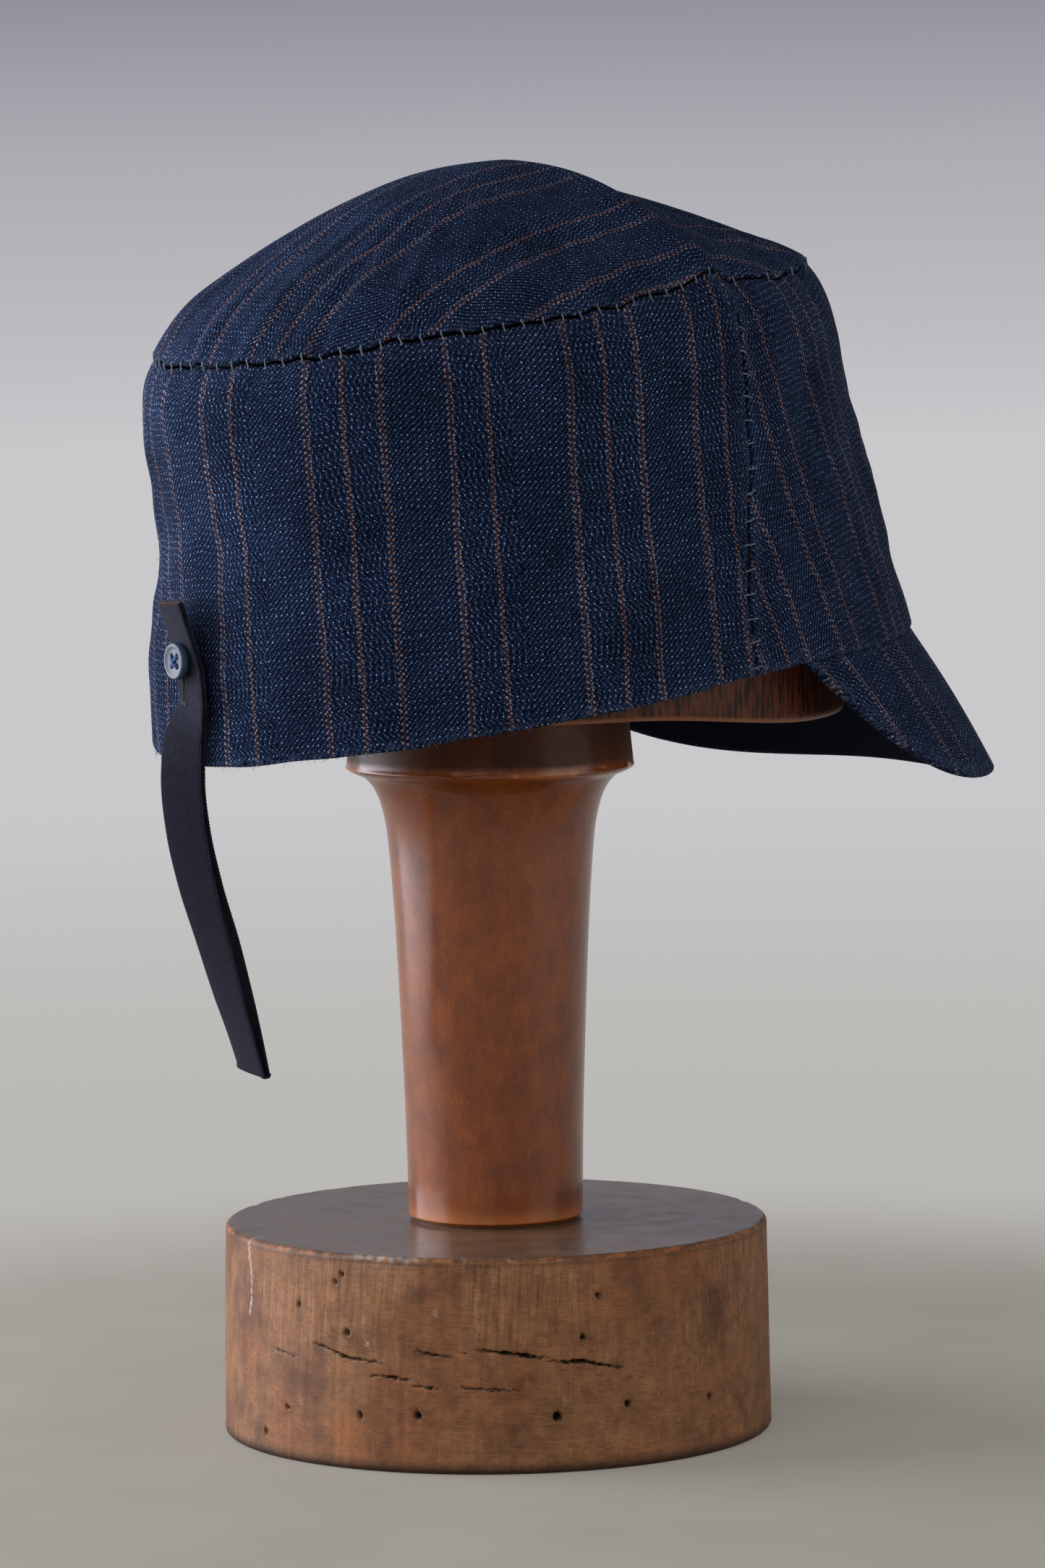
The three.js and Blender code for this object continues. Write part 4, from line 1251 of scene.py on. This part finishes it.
def addBase():
    seen, (fineLow, fineHigh) = base["seenTo"], base["crackZone"]
    bearing = np.concatenate([np.arange(seen, -seen, -0.42), np.arange(-seen, seen - 360, -1.2)])
    foot, top, height, edge = base["footRadius"], base["topRadius"], base["height"], base["edge"]
    quarter = np.radians(np.linspace(0, 90, 6))
    sideUp = np.concatenate([np.arange(edge, fineLow, 0.72), np.arange(fineLow, fineHigh, 0.36),
                             np.arange(fineHigh + 0.2, height - edge, 0.72)])[1:]
    up = np.concatenate([np.zeros(5), edge * (1 - np.cos(quarter)), sideUp,
                         height - edge + edge * np.sin(quarter), np.full(base["topRows"], height)])
    radius = np.concatenate([[0, 30, 55, 66, foot - edge - 0.4], foot - edge + edge * np.sin(quarter),
                             foot + (top - foot) * sideUp / height, top - edge + edge * np.cos(quarter),
                             np.linspace(top - edge - 0.8, 0, base["topRows"])])
    arc = (np.radians(bearing) * foot)[:, None] + 0 * up
    upGrid, out = up + 0 * arc, radius + 0 * arc
    level = 0 * arc  # for what changes round the drum alone
    outside = radius > top - 3
    onSide = smoothStep(upGrid, 0.2, 1.5) * outside
    ragged = waves(arc, upGrid * 2.2, 21, 2.6) + 0.6 * waves(arc, upGrid, 23, 1.3)
    dark = carve = pale = np.zeros(arc.shape)
    for width, depth, line in cracks:
        away, along = fromLine(arc, upGrid + 0.2 * ragged, onDrum(line))
        taper = np.sin(np.pi * np.clip(along, 0.02, 0.98)) ** 0.6
        half = width * taper * (0.75 + 0.25 * waves(arc, level, 4, 5)) / 2 + 0.04
        carve = most(carve, depth * taper * np.clip(1 - (away / (half + 0.14)) ** 2, 0, 1) * onSide)
        # painted shade fills each crack
        inside = 1 - smoothStep(away, half * 0.7, half + 0.2)
        dark = most(dark, inside * onSide * (0.45 + 0.55 * taper))
    for place, holeUp, size in wormHoles:
        away = np.hypot(arc - math.radians(place) * foot, upGrid - holeUp)
        carve = most(carve, base["holeDepth"] * np.clip(1 - (away / (size + 0.15)) ** 4, 0, 1) * onSide)
        # painted shade fills each worm hole, and a fainter dark halo spreads round it
        inside = 1 - smoothStep(away, size * 0.8, size + 0.3)
        dark = most(dark, inside * onSide, 0.35 * bell(away, size * 3) * onSide)
    for half, strength, line in paleMarks:
        away, along = fromLine(arc + 0.25 * ragged, upGrid, onDrum(line))
        pale = most(pale, strength * (1 - smoothStep(away, half * 0.5, half)) * outside)
    # nicks, rubbed places and a pale residue along the top edge
    fromTopEdge = np.hypot(upGrid - height, out - top)
    residue = smoothStep(arc, -44, -35) * (1 - smoothStep(arc, -26, -17))
    patchy = smoothStep(waves(arc, upGrid * 2, 33, 3), -0.7, 0.9)
    pale = most(pale, 0.7 * residue * patchy * bell(fromTopEdge - 0.7, 0.6),
                0.16 * residue * patchy * bell(fromTopEdge, 5.0) * onSide)
    nicks = np.clip(waves(arc, level, 41, 9) + 0.5 * waves(arc, upGrid, 43, 3) - 0.5, 0, 1.5)
    out = out - carve - base["dentDepth"] * nicks * bell(fromTopEdge, 1.4)
    out = out + 0.05 * waves(arc, upGrid * 0.15, 51, 3.2) * onSide  # flats left by the turning tool
    lowered = upGrid - 0.5 * base["dentDepth"] * nicks * bell(fromTopEdge, 1.4)
    rubbed = smoothStep(waves(arc, level, 61, 11) + 0.8 * waves(arc, upGrid * 3, 63, 2.5), -0.1, 1.3)
    fromPatch = np.hypot(arc - math.radians(rubbedPatch["bearing"]) * foot, upGrid - rubbedPatch["up"])
    patchWear = rubbedPatch["strength"] * bell(fromPatch + 1.5 * ragged, rubbedPatch["spread"]) * onSide
    worn = most(bell(fromTopEdge - 0.3, 0.6) * rubbed, patchWear)
    dark = most(dark, 0.4 * bell(height - upGrid - 1.7, 0.5) * onSide,
                0.5 * (1 - rubbed) * bell(fromTopEdge - 0.2, 0.9))
    points = turnedGrid(np.maximum(out, 0), lowered, np.radians(bearing))
    marks = np.stack([dark, np.clip(worn, 0, 1), pale], -1)
    addTurned("base_drum", points, stainedBeech(), "base_wood", "stand_base", {"marks": marks})


# Beech, turned across the grain and stained long ago: fine upright tool marks over level grain, dark where
# handling has gathered, orange where the edge is rubbed, with a waxed dark top. Painted shade darkens the
# side towards the floor and fills the cracks and worm holes.
def stainedBeech():
    material, add = startMaterial("waxedBeechDrum")
    place = add("TexCoord").outputs["Object"]
    grained = add("Mapping", place, Rotation=(0.0, 0.07, -azimuth), Scale=(1 / mm, 1 / mm, 1 / mm))
    up = add("SeparateXYZ", place).outputs["Z"]
    # level grain lines, upright tool marks, blots of stain, pores and upright scratches
    fibre = sizedNoise(add, grained, (45, 6, 0.8), 4.0, 0.55)
    tool = sizedNoise(add, grained, (0.9, 0.9, 26), 3.0, 0.6)
    stain = add("TexNoise", grained, Scale=1 / 15, Detail=5.0, Roughness=0.62)
    patch = add("TexNoise", grained, Scale=1 / 34, Detail=2.0)
    speck = add("MapRange", add("TexNoise", grained, Scale=1 / 1.3, Detail=2.0), 0.68, 0.8, 0.0, 0.7)
    pore = add("MapRange", sizedNoise(add, grained, (2.4, 1.6, 0.35), 2.0), 0.5, 0.68, 1.04, 0.72)
    scratch = add("MapRange", sizedNoise(add, grained, (0.45, 0.45, 17), 2.0), 0.62, 0.76, 1.0, 1.4)
    fineWear = add("Math MULTIPLY", pore, scratch)
    dark, worn, pale = add("SeparateXYZ", add("Attribute marks").outputs["Vector"]).outputs
    height = base["height"]
    onTop = add("MapRange SMOOTHSTEP", up, (height - 0.35) * mm, (height - 0.05) * mm)
    # painted contact shade: the side darkens towards the floor
    paintedFootShade = add("MapRange SMOOTHSTEP", up, 4.2 * mm, 0.4 * mm, 0.0, 0.88)

    streak = add("MapRange", tool, 0.3, 0.72)
    # upright marks show in some patches near the top, and level grain lower down
    upper = add("MapRange", up, 14 * mm, 40 * mm)
    planed = add("Math MULTIPLY", add("MapRange SMOOTHSTEP", patch, 0.4, 0.62, 0.15, 1.0), upper)
    streak = add("MixRGB", planed, (0.42, 0.42, 0.42, 1.0), streak)
    side = add("MixRGB", streak, "#6d472d", "#966c4a")
    lines = add("MixRGB", planed, add("MapRange", fibre, 0.3, 0.66, 0.86, 1.07), (1.0, 1.0, 1.0, 1.0))
    side = add("VectorMath MULTIPLY", side, lines)
    warm = add("MapRange SMOOTHSTEP", patch, 0.55, 0.38, 0.0, 0.45)
    side = add("MixRGB", warm, side, "#7e4a28")
    mottle = add("TexNoise", grained, Scale=1 / 5, Detail=4.0, Roughness=0.65)
    mottle = add("Math MULTIPLY", add("MapRange", mottle, 0.3, 0.7, 0.72, 1.2), fineWear)
    side = add("VectorMath SCALE", side, Scale=mottle)
    blot = add("MapRange SMOOTHSTEP", stain, 0.46, 0.74, 0.0, 0.68)
    side = add("MixRGB", paintedFootShade, add("MixRGB", blot, side, "#452b1e"), "#21140c")
    side = add("MixRGB", speck, side, "#2c2220")
    smear = add("MapRange", add("TexNoise", grained, Scale=1 / 8, Detail=6.0, Roughness=0.68), 0.3, 0.7)
    topWax = add("MixRGB", blot, add("MixRGB", smear, "#4a3725", "#65523f"), "#412f22")
    wood = add("MixRGB", worn, add("MixRGB", onTop, side, topWax), "#9c6034")
    # the dark marks: painted shade in the cracks and worm holes, a dark halo round each hole and dark lines
    # along the top edge
    wood = add("MixRGB", dark, add("MixRGB", pale, wood, "#b3aea6"), "#0d0705")
    gloss = add("Math MULTIPLY_ADD", smear, 0.2, add("MapRange", onTop, 0.0, 1.0, 0.56, 0.3))
    waxed = add("MixRGB", onTop, (0.04, 0.04, 0.04, 1.0), add("MapRange", smear, 0.0, 1.0, 0.85, 0.5))
    return finishMaterial(
        material, add("Math ADD", tool, fibre), 0.2, 0.08, Base_Color=wood, Roughness=gloss, IOR=1.5,
        Specular_IOR_Level=0.22, Coat_Weight=waxed, Coat_Roughness=0.26)


column = {"sides": 180, "footRub": 3.2, "lipUp": 173.8, "meanRadius": 30}
# height and radius of the column, from its foot up to the cone under the block
columnRows = [
    (55.1, 22.75), (79, 23.2), (109, 24.25), (132, 25.3), (149, 26.4), (158, 27.3), (164, 28.6), (168, 30.2),
    (171.3, 32.9), (173, 36.6), (173.8, 37.6), (175, 37.4), (189.8, 36.0),
]


# Beech again, turned along the grain, stained and varnished: mottled red brown under a glossy coat, rubbed to
# orange at the foot and along the lip. Above the lip, where the hat shades the cone, and in a thin ring at
# the foot, the wood is painted dark and its coat thinned, as painted shade.
def varnishedBeech():
    material, add = startMaterial("varnishedBeechColumn")
    place = add("TexCoord").outputs["Object"]
    sized = add("VectorMath SCALE", place, Scale=1 / mm)
    pore = sizedNoise(add, sized, (0.9, 0.9, 14), 4.0, 0.6)
    cloud = sizedNoise(add, sized, (7, 7, 11), 5.0, 0.62)
    paintedShade, rubbed, _ = add("SeparateXYZ", add("Attribute marks").outputs["Vector"]).outputs
    wood = add("MixRGB", add("MapRange", cloud, 0.28, 0.72), "#5c2908", "#80400c")
    speck = add("MapRange", add("TexNoise", sized, Scale=1 / 0.7, Detail=2.0), 0.3, 0.7, 0.84, 1.14)
    lines = add("Math MULTIPLY", add("MapRange", pore, 0.35, 0.62, 0.92, 1.03), speck)
    wood = add("MixRGB", rubbed, add("VectorMath SCALE", wood, Scale=lines), "#a8622c")
    # painted shade: dark above the lip and at the foot, with less coat there
    wood = add("MixRGB", paintedShade, wood, "#1b0d06")
    coat = add("MapRange", paintedShade, 0.0, 0.7, 0.72, 0.1)
    return finishMaterial(
        material, pore, 0.12, 0.1, Base_Color=wood, Roughness=0.5, IOR=1.5, Specular_IOR_Level=0.15,
        Coat_Weight=coat, Coat_Roughness=0.18, Coat_IOR=1.5)


def addColumn():
    low, high = columnRows[0][0], columnRows[-1][0]
    up = np.concatenate([low + np.array([0.0, 0.5, 0.9, 1.05, 1.2, 1.4]), np.linspace(low + 1.7, 160, 96),
                         np.linspace(160.4, 177, 58), np.linspace(177.6, high, 16)])
    radius = tableValue(columnRows, 1, up)
    radius = radius - 0.9 * (1 - smoothStep(up - low, 0.8, 1.3))
    up = np.concatenate([[low], up, [high]])
    radius = np.concatenate([[0], radius, [0]])
    turns = np.linspace(0, -2 * np.pi, column["sides"], endpoint=False)
    arc = turns[:, None] * column["meanRadius"] + 0 * up
    upGrid = up + 0 * arc
    chips = np.clip(waves(arc, upGrid * 2, 71, 8) + 0.6 * waves(arc, upGrid, 73, 3) - 0.9, 0, 1.2)
    fromLip = upGrid - column["lipUp"]
    atLip = bell(fromLip, 1.0)
    out = np.maximum(radius - 0.4 * chips * atLip, 0)
    uneven = 0.5 + 0.5 * waves(arc, upGrid, 77, 22)
    rubbed = bell(upGrid - low - 0.8, column["footRub"]) * (0.6 + 0.4 * uneven)
    rubbed = np.maximum(rubbed, atLip * smoothStep(uneven + chips, 0.4, 1.2))
    # painted shade: dark above the lip, where the hat shades the cone, and a dark ring at the foot for the
    # shadow of the gap
    paintedShade = 0.82 * smoothStep(fromLip, 0.9, 3) * (0.75 + 0.25 * uneven)
    paintedShade = np.maximum(paintedShade, 0.85 * (1 - smoothStep(upGrid - low, 0.7, 1.2)))
    marks = np.stack([np.clip(paintedShade, 0, 1), np.clip(rubbed, 0, 1), 0 * arc], -1)
    points = turnedGrid(out, upGrid, turns)
    addTurned("column_turned", points, varnishedBeech(), "varnished_wood", "stand_column",
              {"marks": marks}, sharpAngle=50)


block = {
    "forward": 6.7,
    "halfLength": 92.8,
    "halfWidth": 73.8,
    "underside": 189.8,
    "top": 328.4,
    "droop": 4.0,  # its underside hangs lower in front
    "sides": 220,
}
# height and scale of the head block
blockRows = [
    (189.8, 0.985), (190.3, 0.994), (192, 1), (237, 1), (257, 0.97), (272, 0.925), (287, 0.84), (299, 0.71),
    (308, 0.56), (317, 0.33), (325, 0.12), (328.4, 0.02),
]


# Lime wood, glued up and stained: dark red brown with short dark upright flecks, its lower edge rubbed pale.
def stainedLime():
    material, add = startMaterial("stainedLimeBlock")
    place = add("TexCoord").outputs["Object"]
    sized = add("VectorMath SCALE", place, Scale=1 / mm)
    fleck = sizedNoise(add, sized, (1.3, 1.3, 9), 4.0, 0.6)
    wood = add("MixRGB", add("MapRange", fleck, 0.4, 0.56), "#140805", "#562917")
    shade = add("MapRange", add("TexNoise", sized, Scale=1 / 22, Detail=3.0), 0.3, 0.7, 0.75, 1.25)
    wood = add("VectorMath SCALE", wood, Scale=shade)
    rubbed = add("SeparateXYZ", add("Attribute rubbed").outputs["Vector"])
    wood = add("MixRGB", rubbed, wood, "#7b5038")
    return finishMaterial(material, fleck, 0.25, 0.1, Base_Color=wood, Roughness=0.55, IOR=1.5,
                          Specular_IOR_Level=0.2)


def addBlock():
    low, high = block["underside"], block["top"]
    up = np.concatenate([np.full(5, low), np.linspace(low, 193, 9), np.linspace(194, 300, 46),
                         np.linspace(301, high, 22), [high]])
    scale = tableValue(blockRows, 1, up)
    scale[:5] = [0, 0.5, 0.65, 0.8, 0.93]
    scale[-1] = 0
    turn = np.radians(np.linspace(0, 360, block["sides"], endpoint=False))[:, None]
    points = at(block["forward"] + block["halfLength"] * scale * np.cos(turn),
                block["halfWidth"] * scale * np.sin(turn), up + 0 * turn)
    rubbed = (1 - smoothStep(up - low, 0.4, 1.5)) + 0 * turn
    fromNeck = np.linalg.norm(points[..., :2], axis=-1)
    ahead = smoothStep(-points[..., 1], -5, 62) * smoothStep(fromNeck, 40, 70)
    points[..., 2] -= block["droop"] * ahead * (1 - smoothStep(up - low, 5, 40))
    layers = {"rubbed": np.stack([rubbed, 0 * rubbed, 0 * rubbed], -1)}
    return addTurned("head_block", points, stainedLime(), "block_wood", "stand_block", layers, sharpAngle=50)


addBase()
addColumn()
headBlock = addBlock()
print("stand turned")


# Floor and light
floor = {
    "near": "#7e7a73",
    # the near floor's glow: painted fill light that lifts the shadows round the stand
    "shade": "#69665e",
    "low": "#bbb9b5",
    "middle": "#c9c8cb",
    "high": "#acacb3",
    "edge": 0.22,  # metres
    "blend": 0.24,
    "sides": 96,
    "rings": [0.3, 1.0, 4.0, 14.0, 60.0, 400.0],
}
room = {"horizon": floor["high"], "above": "#92929c", "rise": 0.022}


# Sealed screed, trowelled flat: matt and almost plain, running out into an even bright studio. Near the stand
# it glows faintly, painted fill light that lifts its shadows.
def addFloor():
    material, add = startMaterial("paleStudioFloor")
    place = add("NewGeometry").outputs["Position"]
    away = add("VectorMath LENGTH", place).outputs["Value"]
    far = add("MapRange SMOOTHSTEP", away, floor["edge"], floor["edge"] + floor["blend"])
    cloud = add("MapRange", add("TexNoise", place, Scale=18.0, Detail=5.0), 0.3, 0.7, 0.93, 1.06)
    screed = add("VectorMath SCALE", colour(floor["near"])[:3], Scale=cloud)
    tint = add("MixRGB", far, screed, (0.0, 0.0, 0.0, 1.0))
    rise = add("MapRange SMOOTHSTEP", away, 0.5, 1.9)
    fall = add("MapRange", add("Math DIVIDE", 1.0, away), 0.16, 0.0)
    glow = add("MixRGB", fall, add("MixRGB", rise, floor["low"], floor["middle"]), floor["high"])
    # painted fill light: the near floor glows evenly to lift its shadows
    glow = add("MixRGB", far, floor["shade"], glow)
    finishMaterial(material, Base_Color=tint, Roughness=0.8, Specular_IOR_Level=0.0, Emission_Color=glow,
                   Emission_Strength=1.0)
    mesh = bpy.data.meshes.new("studioFloor")
    sides, rings = floor["sides"], floor["rings"]
    turn = np.linspace(0, 2 * np.pi, sides, endpoint=False)
    ring = np.stack([np.cos(turn), np.sin(turn), 0 * turn], 1)
    points = np.concatenate([[[0, 0, 0]]] + [ring * reach for reach in rings])
    faces = [[0, 1 + i, 1 + (i + 1) % sides] for i in range(sides)]
    for k in range(len(rings) - 1):
        a, b = 1 + sides * k, 1 + sides * (k + 1)
        faces += [[a + i, b + i, b + (i + 1) % sides, a + (i + 1) % sides] for i in range(sides)]
    mesh.from_pydata(points.tolist(), [], faces)
    mesh.materials.append(material)
    addObject("studioFloor", mesh)


# bearing from the camera (left below zero), height, distance, size in metres, power in watts, tint
lamps = {
    "windowLight": (-98, 0.3, 0.8, 0.9, 18.5, "#eef2ff"),
    "roomLight": (-25, 1.7, 2.4, 2.2, 32.0, "#fbf6ef"),
    "wallBounce": (64, 0.24, 0.9, 0.7, 2.3, "#fff3e2"),
}
aimUp = 0.22  # all lamps point at the middle of the object


def addLights():
    for name, (bearing, up, distance, size, power, tint) in lamps.items():
        data = bpy.data.lights.new(name, "AREA")
        data.shape = "SQUARE"
        data.size = size
        data.energy = power
        data.color = colour(tint)[:3]
        made = addObject(name, data)
        turn = math.radians(bearing)
        place = (toCamera * math.cos(turn) + cameraSide * math.sin(turn)) * distance + upward * up
        toward = upward * aimUp - place
        made.location = place
        made.rotation_mode = "QUATERNION"
        made.rotation_quaternion = Vector(toward).to_track_quat("-Z", "Y")
    world = bpy.data.worlds.new("softRoom")
    world.use_nodes = True
    tree = world.node_tree
    add = functools.partial(addNode, tree)
    up = add("SeparateXYZ", add("TexCoord").outputs["Generated"]).outputs["Z"]
    lift = add("MapRange", up, 0.0, room["rise"])
    wall = add("MixRGB", lift, room["horizon"], room["above"])
    fill(tree, tree.nodes["Background"], {"Color": wall})
    bpy.context.scene.world = world
    bpy.context.scene.view_settings.view_transform = "Standard"


addFloor()
addLights()
print("floor and light ready")
